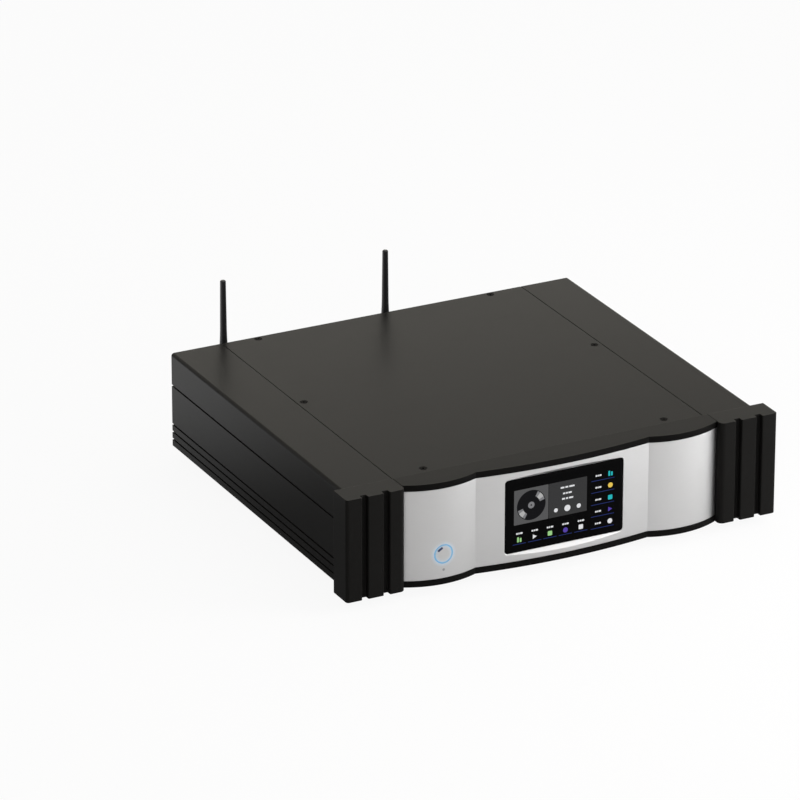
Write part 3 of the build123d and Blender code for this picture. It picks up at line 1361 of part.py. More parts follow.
def antenna_whip(x):
    """The tapered whip with a flat tongue that turns on the pin."""
    profile = make_face(
        Polyline(
            (0, WHIP_START),
            (WHIP_FOOT_RADIUS, WHIP_START),
            (WHIP_FOOT_RADIUS, WHIP_START + WHIP_FOOT_LENGTH),
            (WHIP_WAIST_RADIUS, WHIP_WAIST_HEIGHT),
            (WHIP_TIP_RADIUS, WHIP_LENGTH),
            (0, WHIP_LENGTH),
            close=True,
        )
    )
    rod_body = revolve(Plane.XZ * profile, Axis.Z)
    rod_body = fillet(rod_body.edges().group_by(Axis.Z)[-1], WHIP_TIP_ROUND)
    half = TONGUE_THICKNESS / 2
    tongue = rod_x(0, 0, TONGUE_RADIUS, -half, half)
    neck = WHIP_FOOT_RADIUS * math.cos(math.asin(half / WHIP_FOOT_RADIUS))
    tongue += block(-half, half, -neck, neck, 0, WHIP_START)
    tongue -= rod_x(0, 0, HINGE_PIN_RADIUS + HINGE_PIN_GAP, -half, half)
    return Pos(x, HINGE_Y, ANTENNA_LIFT) * (rod_body + tongue)


def antenna_lead(name):
    """A thin lead from the radio module to one jack."""
    x, y = radio_place()
    slot = list(ANTENNA_XS).index(name) + 1
    start_x = x + slot * RADIO_WIDTH / (len(ANTENNA_XS) + 1)
    start_y = y + RADIO_DEPTH / 2
    end_y = REAR_INSIDE - JACK_INNER_LENGTH
    foot = BOARD_TOP + RADIO_HEIGHT
    jack_x = ANTENNA_XS[name]
    route = FilletPolyline(
        (start_x, start_y, foot),
        (start_x, start_y, ANTENNA_LIFT),
        (jack_x, end_y - LEAD_STRAIGHT, ANTENNA_LIFT),
        (jack_x, end_y, ANTENNA_LIFT),
        radius=LEAD_BEND,
    )
    return sweep(Plane(origin=route @ 0, z_dir=route % 0) * Circle(LEAD_RADIUS), path=route)


# All nodes


def screw_row(screw, spots):
    return group([Location(spot) * screw for spot in spots])


def build_screws():
    cover = [(x, y, CHASSIS_TOP) for x, y in cover_screw_spots()]
    save("cover_screws", screw_row(sunk_screw(COVER_SCREW_LENGTH), cover))
    front = [(x, SUBPANEL_BACK, z) for x, z in front_screw_spots()]
    long_screw = m4_screw(FRONT_SCREW_LENGTH + SUBPANEL_THICKNESS - FIT_GAP)
    save("front_screws", screw_row(Rot(-90, 0, 0) * long_screw, front))
    subpanel = [(x, FRONT_DEPTH, z) for x, z in port_spots()]
    port_screw = sunk_screw(PORT_SCREW_LENGTH + SUBPANEL_THICKNESS)
    save("subpanel_screws", screw_row(Rot(90, 0, 0) * port_screw, subpanel))
    rear = [(x, REAR_FACE, z) for x, z in port_spots()]
    panel_screws = screw_row(Rot(-90, 0, 0) * m3_screw(PORT_SCREW_LENGTH), rear)
    flange = REAR_FACE + INLET_FLANGE_THICKNESS
    inlet = [(INLET_X + x, flange, INLET_Z) for x in both_sides([INLET_SCREW_SPREAD])]
    inlet_screw = Rot(-90, 0, 0) * sunk_screw(INLET_FLANGE_THICKNESS + REAR_THICKNESS)
    save("rear_screws", group([panel_screws, screw_row(inlet_screw, inlet)]))
    base = [(x, y, BASE_LIFT) for x, y in base_screw_spots()]
    save("base_screws", screw_row(Rot(180, 0, 0) * m3_screw(BASE_SCREW_LENGTH), base))
    feet = [(x, y, BASE_TOP) for x, y in foot_spots()]
    save("foot_screws", screw_row(m4_screw(FOOT_SCREW_LENGTH - FIT_GAP), feet))
    save("board_screws", board_screws())


def build_front():
    right_cheek = cheek()
    save("right_cheek", right_cheek)
    save("left_cheek", mirror(right_cheek, about=Plane.YZ))
    save("fascia", fascia())
    save("silver_panel", silver_panel())
    save("display_glass", display_glass())
    save("lcd_module", lcd_module())
    save("display_bracket", display_bracket())
    save("display_board", display_board())
    save("power_button", power_button())
    save("button_light_ring", button_light_ring())
    save("sensor_window", sensor_window())
    save("button_board", button_board())
    save("switch_plunger", switch_plunger())


def build_chassis():
    right_side = side_panel()
    save("right_side_panel", right_side)
    save("left_side_panel", mirror(right_side, about=Plane.YZ))
    save("top_cover", top_cover())
    save("front_subpanel", front_subpanel())
    save("rear_panel", rear_panel())
    save("base_plate", base_plate())
    cup, pad = foot_cup(), foot_pad()
    save("foot_cups", group([Pos(x, y, 0) * cup for x, y in foot_spots()]))
    save("foot_pads", group([Pos(x, y, 0) * pad for x, y in foot_spots()]))


def build_inside():
    save("main_board", main_board())
    save("processor_heatsink", processor_heatsink())
    save("radio_module", radio_module())
    save("dac_board", dac_board())
    save("supply_board", board_plate(SUPPLY_BOARD))
    save("supply_capacitors", supply_capacitors())
    save("supply_heatsink", supply_heatsink())
    save("board_standoffs", standoffs())
    save("transformer", toroid())
    save("transformer_pad", toroid_pad())
    save("transformer_dish", toroid_dish())
    save("transformer_bolt", toroid_bolt())


def build_rear():
    save("xlr_sockets", group([xlr_socket(x) for x in XLR_XS]))
    save("xlr_pins", xlr_pins())
    save("phono_sockets", group([phono_socket(x) for x in PHONO_XS]))
    save("phono_barrels", group([phono_barrel(x) for x in PHONO_XS]))
    save("optical_socket", optical_socket())
    save("network_socket", network_socket())
    save("usb_sockets", group([usb_stack(x) for x in USB_XS]))
    save("mains_inlet", mains_inlet())
    save("inlet_blades", inlet_blades())
    save("rocker_frame", rocker_frame())
    save("mains_rocker", mains_rocker())


def build_antennas():
    xs = ANTENNA_XS.values()
    save("antenna_jacks", group([antenna_jack(x) for x in xs]))
    save("jack_nuts", group([jack_nut(x) for x in xs]))
    save("antenna_leads", group([antenna_lead(name) for name in ANTENNA_XS]))
    for name, x in ANTENNA_XS.items():
        save(name + "_antenna_base", antenna_base(x))
        save(name + "_antenna_pin", antenna_pin(x))
        save(name + "_antenna_whip", antenna_whip(x))


def main():
    os.makedirs("parts", exist_ok=True)
    build_front()
    build_chassis()
    build_inside()
    build_rear()
    build_antennas()
    build_screws()


main()
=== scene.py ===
"""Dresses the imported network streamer: modelled pieces, procedural finishes and a plain studio."""
import json
import math
from contextlib import contextmanager

import bmesh
import bpy
from bpy.props import FloatProperty, FloatVectorProperty, IntProperty, PointerProperty
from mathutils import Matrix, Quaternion, Vector

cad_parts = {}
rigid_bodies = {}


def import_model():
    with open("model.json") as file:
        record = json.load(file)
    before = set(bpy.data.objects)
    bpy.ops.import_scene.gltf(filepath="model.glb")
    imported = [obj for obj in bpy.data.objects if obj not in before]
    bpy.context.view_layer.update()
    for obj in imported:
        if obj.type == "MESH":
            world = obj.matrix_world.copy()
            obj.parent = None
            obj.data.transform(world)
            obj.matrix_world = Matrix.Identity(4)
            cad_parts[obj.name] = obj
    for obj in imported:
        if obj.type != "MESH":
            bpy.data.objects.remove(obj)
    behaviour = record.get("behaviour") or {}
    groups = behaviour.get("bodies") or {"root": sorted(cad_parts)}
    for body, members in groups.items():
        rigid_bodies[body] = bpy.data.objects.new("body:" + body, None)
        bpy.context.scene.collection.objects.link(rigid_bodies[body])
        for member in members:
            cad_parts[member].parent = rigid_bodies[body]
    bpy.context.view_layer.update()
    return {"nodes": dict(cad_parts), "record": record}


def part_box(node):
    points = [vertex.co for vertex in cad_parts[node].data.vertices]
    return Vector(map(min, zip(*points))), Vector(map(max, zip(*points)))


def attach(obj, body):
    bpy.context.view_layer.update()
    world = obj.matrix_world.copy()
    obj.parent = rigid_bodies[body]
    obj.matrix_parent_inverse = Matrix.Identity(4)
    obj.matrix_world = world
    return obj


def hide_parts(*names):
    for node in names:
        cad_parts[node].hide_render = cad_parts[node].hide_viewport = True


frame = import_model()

bl_info = {
    "name": "Network streamer",
    "version": (1, 0, 0),
    "blender": (4, 5, 0),
    "location": "3D View > Sidebar > Streamer",
    "description": "Models the pieces, finishes and studio of a network streamer on its packed frame",
    "category": "Object",
}

NODES = frame["nodes"]
MM = 0.001
CHASSIS = "chassis"
FULL_TURN = 2 * math.pi
ALONG_Z = Vector((0, 0, 1))
ALONG_Y = Vector((0, 1, 0))
WELD = 0.002 * MM  # points closer than this are merged
NEAR = 0.01 * MM  # places closer than this count as the same
TOOL_LEAD = 20 * MM  # how far before the silver panel the front's cutting tools start
TOOL_LENGTH = 60 * MM


def low(node):
    """The lowest corner of a node of the frame."""
    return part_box(node)[0]


def high(node):
    """The highest corner of a node of the frame."""
    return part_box(node)[1]


def middle(node):
    """The centre of a node's box."""
    return (low(node) + high(node)) / 2


# Sizes and colours that can be changed

def mm_size(name, description, size):
    """A length that can be changed, given in mm."""
    return FloatProperty(name=name, description=description, default=size * MM, unit="LENGTH")


def shade(name, description, colour):
    """A colour that can be changed."""
    return FloatVectorProperty(
        name=name, description=description, subtype="COLOR", min=0, max=1, default=colour)


class FrontSizes(bpy.types.PropertyGroup):
    """Sizes of the lobed front and its finned ends."""

    side_lobe_width: mm_size("Side lobe width", "Width of each outer lobe", 71.0)
    side_lobe_bow: mm_size("Side lobe bow", "How far an outer lobe stands out from its ends", 8.2)
    crest: mm_size("Centre crest", "How far the centre lobe stands out past the finned ends", 2.0)
    crease_setback: mm_size("Crease setback", "How far the creases lie behind the finned ends", 4.7)
    end_setback: mm_size("End setback", "How far the lobes' outer ends lie behind the finned ends", 8.0)
    lip_height: mm_size("Lip height", "Height of the black lips above and below the silver panel", 5.9)
    lip_proud: mm_size("Lip step", "How far the lips stand out past the silver panel", 0.4)
    silver_thickness: mm_size("Silver thickness", "Thickness of the silver panel", 5.0)
    edge_break: mm_size("Edge break", "Width of the broken edges of the front", 0.4)
    groove_width: mm_size("Groove width", "Width of the grooves between the bars of the ends", 5.8)
    groove_depth: mm_size("Groove depth", "Depth of the grooves of the ends", 5.0)
    bars: IntProperty(name="Bars", description="Upright bars on each end", default=3, min=1, max=8)
    bar_radius: mm_size("Bar radius", "Corner radius of the bars", 1.2)
    inner_radius: mm_size("Inner radius", "Corner radius of an end beside the lobes", 5.0)
    outer_radius: mm_size("Outer radius", "Corner radius of an end at the outside", 3.0)
    window_clearance: mm_size("Window clearance", "Gap round the display glass", 0.2)
    window_flare: FloatProperty(
        name="Window flare", description="How far the window's edges splay out towards the front",
        default=math.radians(45), subtype="ANGLE")
    glass_corner: mm_size("Glass corner", "Corner radius of the display glass", 3.0)
    button_radius: mm_size("Button radius", "Radius of the power button", 7.6)
    ring_bore: mm_size("Ring bore", "Inner radius of the light ring", 7.9)
    ring_radius: mm_size("Ring radius", "Outer radius of the light ring", 9.2)


class CaseSizes(bpy.types.PropertyGroup):
    """Sizes of the case behind the front."""

    wall: mm_size("Wall", "Thickness of the side walls", 5.0)
    strip: mm_size("Top strip", "Thickness of the top of a side panel under the cover", 6.0)
    cover_thickness: mm_size("Cover thickness", "Thickness of the top cover", 3.0)
    ledge: mm_size("Ledge", "Width of the ledge that carries the cover", 15.0)
    top_radius: mm_size("Top radius", "Radius of the rounded top edges", 3.0)
    bottom_break: mm_size("Bottom break", "Width of the broken bottom edges", 1.0)
    groove_width: mm_size("Groove width", "Width of the long grooves in the sides", 1.6)
    groove_depth: mm_size("Groove depth", "Depth of the long grooves in the sides", 1.5)
    edge_break: mm_size("Edge break", "Width of the softened edges of the case", 0.3)
    screw_sink: mm_size("Screw sink", "Radius of the sinks round the cover screws", 3.4)


class Finishes(bpy.types.PropertyGroup):
    """Colours of the finishes."""

    anodised: shade("Black anodised", "Colour of the anodised metal", (0.0085, 0.0082, 0.0078))
    silver: shade("Satin silver", "Colour of the front panel", (0.57, 0.57, 0.575))
    glow: shade("Ring glow", "Colour of the button's light", (0.15, 0.35, 0.55))
    screen_panel: shade("Screen panel", "Grey of the screen's player panel", (0.100, 0.100, 0.102))
    screen_white: shade("Screen white", "White of the screen's marks", (0.80, 0.81, 0.83))
    screen_line: shade("Screen line", "Blue of the lines under the icons", (0.018, 0.032, 0.15))


def front_sizes():
    """The sizes of the front as the user has set them."""
    return bpy.context.scene.streamer_front


def case_sizes():
    """The sizes of the case as the user has set them."""
    return bpy.context.scene.streamer_case


def finishes():
    """The colours as the user has set them."""
    return bpy.context.scene.streamer_finishes


# Modelling by hand

def only(piece):
    """Makes one object the selected and active one."""
    bpy.ops.object.select_all(action="DESELECT")
    piece.select_set(True)
    bpy.context.view_layer.objects.active = piece


@contextmanager
def editing(piece, kind="VERT", whole=False):
    """Edit mode on one piece, with nothing or the whole of it selected to start with."""
    only(piece)
    bpy.ops.object.mode_set(mode="EDIT")
    bpy.ops.mesh.select_mode(type=kind)
    bpy.ops.mesh.select_all(action="SELECT" if whole else "DESELECT")
    yield
    bpy.ops.object.mode_set(mode="OBJECT")


def pick(piece, kind, test):
    """Selects the corners, edges or faces of the edited piece that pass a test."""
    bpy.ops.mesh.select_mode(type=kind)
    bpy.ops.mesh.select_all(action="DESELECT")
    edited = bmesh.from_edit_mesh(piece.data)
    groups = {"VERT": edited.verts, "EDGE": edited.edges, "FACE": edited.faces}
    for item in groups[kind]:
        if test(item):
            item.select_set(True)
    edited.select_flush_mode()
    bmesh.update_edit_mesh(piece.data)


def pull(push):
    """Extrudes what is selected."""
    bpy.ops.mesh.extrude_region_move(TRANSFORM_OT_translate={"value": tuple(push)})


def pull_all(push):
    """Extrudes the whole edited piece."""
    bpy.ops.mesh.select_all(action="SELECT")
    pull(push)


def named(piece, name):
    """Names an object and its mesh."""
    piece.name = name
    piece.data.name = name
    return piece


def plane(name, size, place=(0, 0, 0)):
    """A new square plane."""
    bpy.ops.object.select_all(action="DESELECT")
    bpy.ops.mesh.primitive_plane_add(size=size, location=place)
    return named(bpy.context.object, name)


def duplicate(piece, name):
    """A copy of a piece with its own mesh."""
    only(piece)
    bpy.ops.object.duplicate(linked=False)
    return named(bpy.context.object, name)


def start_point(name, place):
    """A new piece of one point."""
    piece = plane(name, MM)
    with editing(piece, whole=True):
        bpy.ops.mesh.merge(type="CENTER")
        bpy.ops.mesh.select_all(action="SELECT")
        bpy.ops.transform.translate(value=tuple(place))
    return piece


def drawn(name, places, fill=True):
    """An outline drawn from corner to corner, and filled."""
    piece = start_point(name, places[0])
    with editing(piece, whole=True):
        for here, there in zip(places, places[1:]):
            step = Vector(there) - Vector(here)
            bpy.ops.mesh.extrude_vertices_move(TRANSFORM_OT_translate={"value": tuple(step)})
        if fill:
            bpy.ops.mesh.select_all(action="SELECT")
            bpy.ops.mesh.edge_face_add()
    return piece


def closed(piece):
    """Merges doubled points and turns every face outwards."""
    with editing(piece, whole=True):
        bpy.ops.mesh.remove_doubles(threshold=WELD)
        bpy.ops.mesh.normals_make_consistent(inside=False)
    return piece


def round_corners(piece, radius, segments, test=lambda place: True):
    """Rounds the corners of a flat outline whose places pass a test."""
    with editing(piece):
        pick(piece, "VERT", lambda corner: test(corner.co))
        bpy.ops.mesh.bevel(offset=radius, segments=segments, affect="VERTICES", clamp_overlap=False)


def thickened(piece, push):
    """Pulls a flat outline out into a block."""
    with editing(piece):
        pull_all(push)
    return closed(piece)


def softened(piece, width, segments=2, angle=30.0, clamp=True):
    """Rounds the sharp edges of a piece."""
    with editing(piece, "EDGE"):
        bpy.ops.mesh.edges_select_sharp(sharpness=math.radians(angle))
        bpy.ops.mesh.bevel(offset=width, segments=segments, affect="EDGES", clamp_overlap=clamp)
    return piece


def discard(piece):
    """Takes away a piece that was only a tool or a pattern."""
    bpy.data.objects.remove(piece, do_unlink=True)


def combined(piece, tool, how):
    """Cuts, joins or trims a piece with another, which is used up."""
    only(piece)
    bpy.ops.object.modifier_add(type="BOOLEAN")
    change = piece.modifiers[-1]
    change.operation = how
    change.solver = "EXACT"
    change.object = tool
    bpy.ops.object.modifier_apply(modifier=change.name)
    discard(tool)
    return piece


def sliced(piece, place, outwards):
    """Cuts a piece off flat at a plane and closes the cut."""
    with editing(piece, whole=True):
        bpy.ops.mesh.bisect(plane_co=tuple(place), plane_no=tuple(outwards), use_fill=True,
                            clear_outer=True)
    return closed(piece)


def joined(name, pieces):
    """Joins like pieces into one object."""
    bpy.ops.object.select_all(action="DESELECT")
    for piece in pieces:
        piece.select_set(True)
    bpy.context.view_layer.objects.active = pieces[0]
    bpy.ops.object.join()
    return named(pieces[0], name)


def copied(piece, name, shift=(0, 0, 0), mirrored=False):
    """A copy with its own mesh, moved or mirrored left to right."""
    twin = duplicate(piece, name)
    with editing(twin, whole=True):
        bpy.ops.transform.translate(value=tuple(shift))
        if mirrored:
            bpy.ops.transform.resize(value=(-1, 1, 1), center_override=(0, 0, 0))
    return closed(twin)


def block(name, low_corner, high_corner):
    """A plain block between two corners, as a start or a cutting tool."""
    x0, y0, z0 = low_corner
    x1, y1, z1 = high_corner
    piece = drawn(name, [(x0, y0, z0), (x1, y0, z0), (x1, y1, z0), (x0, y1, z0)])
    return thickened(piece, (0, 0, z1 - z0))


def turned(name, profile, centre, along=ALONG_Z, steps=48):
    """A profile of (radius, height) points turned once round an axis through a place."""
    centre = Vector(centre)
    places = [centre + Vector((radius, 0, 0)) + along * height for radius, height in profile]
    piece = drawn(name, places, fill=False)
    with editing(piece, whole=True):
        bpy.ops.mesh.spin(steps=steps, angle=FULL_TURN, center=tuple(centre), axis=tuple(along))
    return closed(piece)


def circle(radius, count):
    """Points evenly spaced round a circle."""
    turns = [FULL_TURN * index / count for index in range(count)]
    return [(radius * math.cos(turn), radius * math.sin(turn)) for turn in turns]


def rod(name, centre, radius, length, along=ALONG_Y, steps=64):
    """A round bar from a place, as a start or a cutting tool."""
    return turned(name, [(0, 0), (radius, 0), (radius, length), (0, length)], centre, along, steps)


def soft_copy(node, name, width, segments=2):
    """A copy of a CAD node with its triangles merged to clean faces and its edges softened."""
    piece = duplicate(NODES[node], name)
    bpy.ops.object.parent_clear(type="CLEAR_KEEP_TRANSFORM")
    for key in list(piece.keys()):
        del piece[key]
    with editing(piece, whole=True):
        bpy.ops.mesh.remove_doubles(threshold=WELD)
        bpy.ops.mesh.dissolve_limited(angle_limit=math.radians(1.0))
    piece.data.materials.clear()
    return softened(piece, width, segments)


def dressed(piece, body, slot, *nodes, angle=35.0):
    """Smooths a piece, gives it its slot's finish, and hangs it on its body in place of CAD nodes."""
    only(piece)
    bpy.ops.object.shade_smooth_by_angle(angle=math.radians(angle))
    bpy.ops.object.modifier_add(type="WEIGHTED_NORMAL")
    piece.modifiers[-1].keep_sharp = True
    bpy.ops.object.modifier_apply(modifier=piece.modifiers[-1].name)
    if not piece.data.materials:
        piece.data.materials.append(finish(slot))
    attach(piece, body)
    if nodes:
        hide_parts(*nodes)
    return piece


def dressed_pair(right, left_name, slot, right_node, left_node):
    """Mirrors a right-hand piece for the left, and dresses both."""
    left = copied(right, left_name, mirrored=True)
    dressed(right, CHASSIS, slot, right_node)
    dressed(left, CHASSIS, slot, left_node)


def softened_node(node, name, slot, width, segments=2, body=CHASSIS):
    """A CAD node with softened edges, dressed and hung in the node's place."""
    return dressed(soft_copy(node, name, width, segments), body, slot, node)


# Finishes

def plug(tree, node, sockets):
    """Sets or links the input sockets of a node."""
    for key, value in sockets.items():
        if isinstance(value, bpy.types.NodeSocket):
            tree.links.new(value, node.inputs[key])
        else:
            node.inputs[key].default_value = value


def add_node(tree, kind, sockets=None, **settings):
    """Adds a node, sets it, and sets or links its input sockets."""
    made = tree.nodes.new(kind)
    for name, value in settings.items():
        setattr(made, name, value)
    plug(tree, made, sockets or {})
    return made


def maths(tree, operation, *values):
    """The result of a Math node."""
    return add_node(tree, "ShaderNodeMath", dict(enumerate(values)), operation=operation).outputs[0]


def product(tree, first, second):
    """The product of two vectors or colours."""
    made = add_node(tree, "ShaderNodeVectorMath", {0: first, 1: second}, operation="MULTIPLY")
    return made.outputs["Vector"]


def ranged(tree, value, start, end, first=0.0, last=1.0, **settings):
    """A value mapped from one range to another."""
    made = add_node(tree, "ShaderNodeMapRange", {
        "Value": value, "From Min": start, "From Max": end, "To Min": first, "To Max": last}, **settings)
    return made.outputs["Result"]


def object_place(tree):
    """Where a point lies in its object."""
    return add_node(tree, "ShaderNodeTexCoord").outputs["Object"]


def part_of(tree, place, axis):
    """One coordinate of a place."""
    return add_node(tree, "ShaderNodeSeparateXYZ", {0: place}).outputs[axis]


def shared_group(name, inputs, outputs):
    """Has a node group built at its first use, and finds it by its name after that."""
    def wrap(build):
        def group():
            if name not in bpy.data.node_groups:
                tree = bpy.data.node_groups.new(name, "ShaderNodeTree")
                for way, sockets in (("INPUT", inputs), ("OUTPUT", outputs)):
                    for label, kind in sockets.items():
                        tree.interface.new_socket(label, in_out=way, socket_type="NodeSocket" + kind)
                given = tree.nodes.new("NodeGroupInput").outputs
                plug(tree, tree.nodes.new("NodeGroupOutput"), build(tree, given))
            return bpy.data.node_groups[name]
        return group
    return wrap


@shared_group("surface_grain", {"Stretch": "Vector", "Scale": "Float", "Low": "Float", "High": "Float"},
              {"Roughness": "Float", "Height": "Float"})
def grain_group(tree, given):
    """Fine grain, round or drawn out into lines: a roughness and a height."""
    noise = add_node(tree, "ShaderNodeTexNoise", {
        "Vector": product(tree, object_place(tree), given["Stretch"]), "Scale": given["Scale"],
        "Detail": 4.0, "Roughness": 0.6}).outputs["Fac"]
    return {"Roughness": ranged(tree, noise, 0.3, 0.7, given["Low"], given["High"]), "Height": noise}


@shared_group("tone_drift", {"Colour": "Color", "Scale": "Float", "Drift": "Float"}, {"Colour": "Color"})
def drift_group(tree, given):
    """A slow drift of tone over a surface, with a finer mottle in it."""
    noise = add_node(tree, "ShaderNodeTexNoise", {
        "Vector": object_place(tree), "Scale": given["Scale"], "Detail": 5.0, "Roughness": 0.55})
    centred = maths(tree, "SUBTRACT", noise.outputs["Fac"], 0.5)
    level = maths(tree, "ADD", maths(tree, "MULTIPLY", centred, given["Drift"]), 1.0)
    return {"Colour": product(tree, given["Colour"], level)}


@shared_group("handling_smudges", {"Scale": "Float", "Amount": "Float", "Roughness": "Float"},
              {"Roughness": "Float"})
def smudge_group(tree, given):
    """Faint smudges from handling: a roughness that rises in patches."""
    noise = add_node(tree, "ShaderNodeTexNoise", {
        "Vector": object_place(tree), "Scale": given["Scale"], "Detail": 6.0, "Roughness": 0.7,
        "Distortion": 0.6})
    mask = ranged(tree, noise.outputs["Fac"], 0.5, 0.75)
    return {"Roughness": maths(tree, "MULTIPLY_ADD", mask, given["Amount"], given["Roughness"])}


@shared_group("display_dots", {"Colour": "Color", "Pitch": "Float"}, {"Colour": "Color"})
def pixel_group(tree, given):
    """The fine grid of a lit display: its colour, dimmed between the dots."""
    place = object_place(tree)
    lines = []
    for axis in ("X", "Z"):
        count = maths(tree, "DIVIDE", part_of(tree, place, axis), given["Pitch"])
        lines.append(ranged(tree, maths(tree, "PINGPONG", count, 1.0), 0.0, 0.35, 0.72, 1.0))
    return {"Colour": product(tree, given["Colour"], maths(tree, "MULTIPLY", *lines))}


def set_group(tree, group, sockets):
    """Places a shared effect, sets or links its inputs and gives its outputs."""
    return add_node(tree, "ShaderNodeGroup", sockets, node_tree=group).outputs


def drifting(tree, colour, scale, drift):
    """A colour that drifts slowly over a surface."""
    return set_group(tree, drift_group(), {"Colour": colour, "Scale": scale, "Drift": drift})["Colour"]


def smudged(tree, scale, amount, roughness):
    """A roughness with smudges in it."""
    sockets = {"Scale": scale, "Amount": amount, "Roughness": roughness}
    return set_group(tree, smudge_group(), sockets)["Roughness"]


def blank_tree(owner):
    """The emptied node tree of a new material or world."""
    owner.use_nodes = True
    owner.node_tree.nodes.clear()
    return owner.node_tree


def blank_material(name):
    """A material with a lone Principled shader."""
    made = bpy.data.materials.new(name)
    tree = blank_tree(made)
    shader = add_node(tree, "ShaderNodeBsdfPrincipled")
    add_node(tree, "ShaderNodeOutputMaterial", {"Surface": shader.outputs["BSDF"]})
    return made, tree, shader


def shader_of(made):
    """The Principled shader of a material."""
    return next(part for part in made.node_tree.nodes if part.type == "BSDF_PRINCIPLED")


def grained(name, colour, rough, scale, depth, stretch=(1, 1, 1), drift=0.2, drift_scale=40.0,
            metallic=0.0, specular=0.5, smudges=0.0):
    """A finish with fine grain, a slow drift of tone and, if asked, smudges."""
    made, tree, shader = blank_material(name)
    grain = set_group(tree, grain_group(), {
        "Stretch": stretch, "Scale": scale, "Low": rough[0], "High": rough[1]})
    roughness = grain["Roughness"]
    if smudges:
        roughness = smudged(tree, scale=26.0, amount=smudges, roughness=roughness)
    bump = add_node(tree, "ShaderNodeBump", {"Strength": 1.0, "Distance": depth, "Height": grain["Height"]})
    plug(tree, shader, {
        "Base Color": drifting(tree, (*colour, 1.0), drift_scale, drift), "Roughness": roughness,
        "Normal": bump.outputs["Normal"], "Metallic": metallic, "Specular IOR Level": specular})
    return made


def anodised(name, share, rough):
    """Anodised aluminium at a share of the set colour: a fine blasted grain under a tight sheen."""
    colour = tuple(value * share for value in finishes().anodised)
    return grained(name, colour, rough, scale=2400.0, depth=0.004 * MM, drift=0.3, drift_scale=14.0,
                   specular=0.035, smudges=0.015)


def black_anodised():
    """The satin black of the case and the finned ends."""
    return anodised("black_anodised", share=1.0, rough=(0.31, 0.39))


def fascia_black():
    """A copy of the case's anodised black at half its colour and a little rougher, for the lobed fascia."""
    return anodised("fascia_black", share=0.5, rough=(0.34, 0.42))


def satin_silver():
    """Satin silver aluminium, finely drawn along its width, with a painted glow of the button's light on
    the metal round its ring.
    """
    tint, sizes, hub = finishes(), front_sizes(), middle("power_button")
    made = grained("satin_silver", tint.silver, rough=(0.37, 0.46), scale=900.0, depth=0.002 * MM,
                   stretch=(0.05, 1, 1.6), drift=0.06, drift_scale=20.0, metallic=1.0)
    tree = made.node_tree
    # Painted light: near the ring the silver itself emits the ring's colour, fading out a few mm away, in
    # place of the ring's glow spilling onto it
    flat = product(tree, object_place(tree), (1, 0, 1))
    away = add_node(tree, "ShaderNodeVectorMath", {0: flat, 1: (hub.x, 0, hub.z)}, operation="DISTANCE")
    beside = maths(tree, "SUBTRACT", away.outputs["Value"], (sizes.ring_bore + sizes.ring_radius) / 2)
    painted_halo = ranged(tree, maths(tree, "ABSOLUTE", beside), start=0.4 * MM, end=4.6 * MM, first=1.0, last=0.0,
                  interpolation_type="SMOOTHERSTEP")
    plug(tree, shader_of(made), {
        "Emission Color": product(tree, tuple(tint.glow), painted_halo), "Emission Strength": 0.22})
    return made


def light_guide():
    """The frosted light guide round the button, lit from behind."""
    made = grained("clear_light_guide", (0.03, 0.05, 0.07), rough=(0.25, 0.35), scale=1800.0,
                   depth=0.003 * MM, drift=0.05)
    tree = made.node_tree
    glow = drifting(tree, (*finishes().glow, 1.0), scale=300.0, drift=0.25)
    plug(tree, shader_of(made), {"Emission Color": glow, "Emission Strength": 1.0})
    return made


GLASS_BLACK = (0.0010, 0.0010, 0.0012, 1.0)


def glass_film(tree):
    """The faint film of smudges on the display's glass and its weak sheen."""
    roughness = smudged(tree, scale=55.0, amount=0.08, roughness=0.04)
    return {"Roughness": roughness, "Specular IOR Level": 0.03}


def display_glass():
    """Black cover glass."""
    made, tree, shader = blank_material("display_glass")
    tone = drifting(tree, GLASS_BLACK, scale=30.0, drift=0.3)
    plug(tree, shader, {"Base Color": tone, **glass_film(tree)})
    return made


def screen_light(name, colour):
    """A lit part of the screen behind the glass."""
    made, tree, shader = blank_material(name)
    dots = set_group(tree, pixel_group(), {"Colour": (*colour, 1.0), "Pitch": 0.09 * MM})
    plug(tree, shader, {
        "Base Color": GLASS_BLACK, "Emission Color": dots["Colour"], "Emission Strength": 1.0,
        **glass_film(tree)})
    return made


def circuit_board():
    """Green solder mask over faint copper tracks."""
    made, tree, shader = blank_material("circuit_board")
    tracks = add_node(tree, "ShaderNodeTexBrick", {
        "Vector": object_place(tree), "Scale": 60.0, "Mortar Size": 0.012,
        "Color1": (0.004, 0.05, 0.02, 1), "Color2": (0.005, 0.06, 0.025, 1),
        "Mortar": (0.012, 0.11, 0.05, 1)})
    grain = set_group(tree, grain_group(), {"Stretch": (1, 1, 1), "Scale": 900.0, "Low": 0.28, "High": 0.4})
    tone = drifting(tree, tracks.outputs["Color"], scale=50.0, drift=0.3)
    plug(tree, shader, {"Base Color": tone, "Roughness": grain["Roughness"]})
    return made


def winding():
    """Varnished yellow tape over copper turns."""
    made, tree, shader = blank_material("winding")
    turns = add_node(tree, "ShaderNodeTexWave", {
        "Vector": object_place(tree), "Scale": 160.0, "Distortion": 1.5, "Detail": 2.0},
        bands_direction="DIAGONAL").outputs["Fac"]
    bump = add_node(tree, "ShaderNodeBump", {"Strength": 1.0, "Distance": 0.1 * MM, "Height": turns})
    tone = drifting(tree, (0.42, 0.20, 0.05, 1), scale=90.0, drift=0.6)
    roughness = ranged(tree, turns, start=0.0, end=1.0, first=0.3, last=0.55)
    plug(tree, shader, {"Base Color": tone, "Roughness": roughness, "Normal": bump.outputs["Normal"]})
    return made


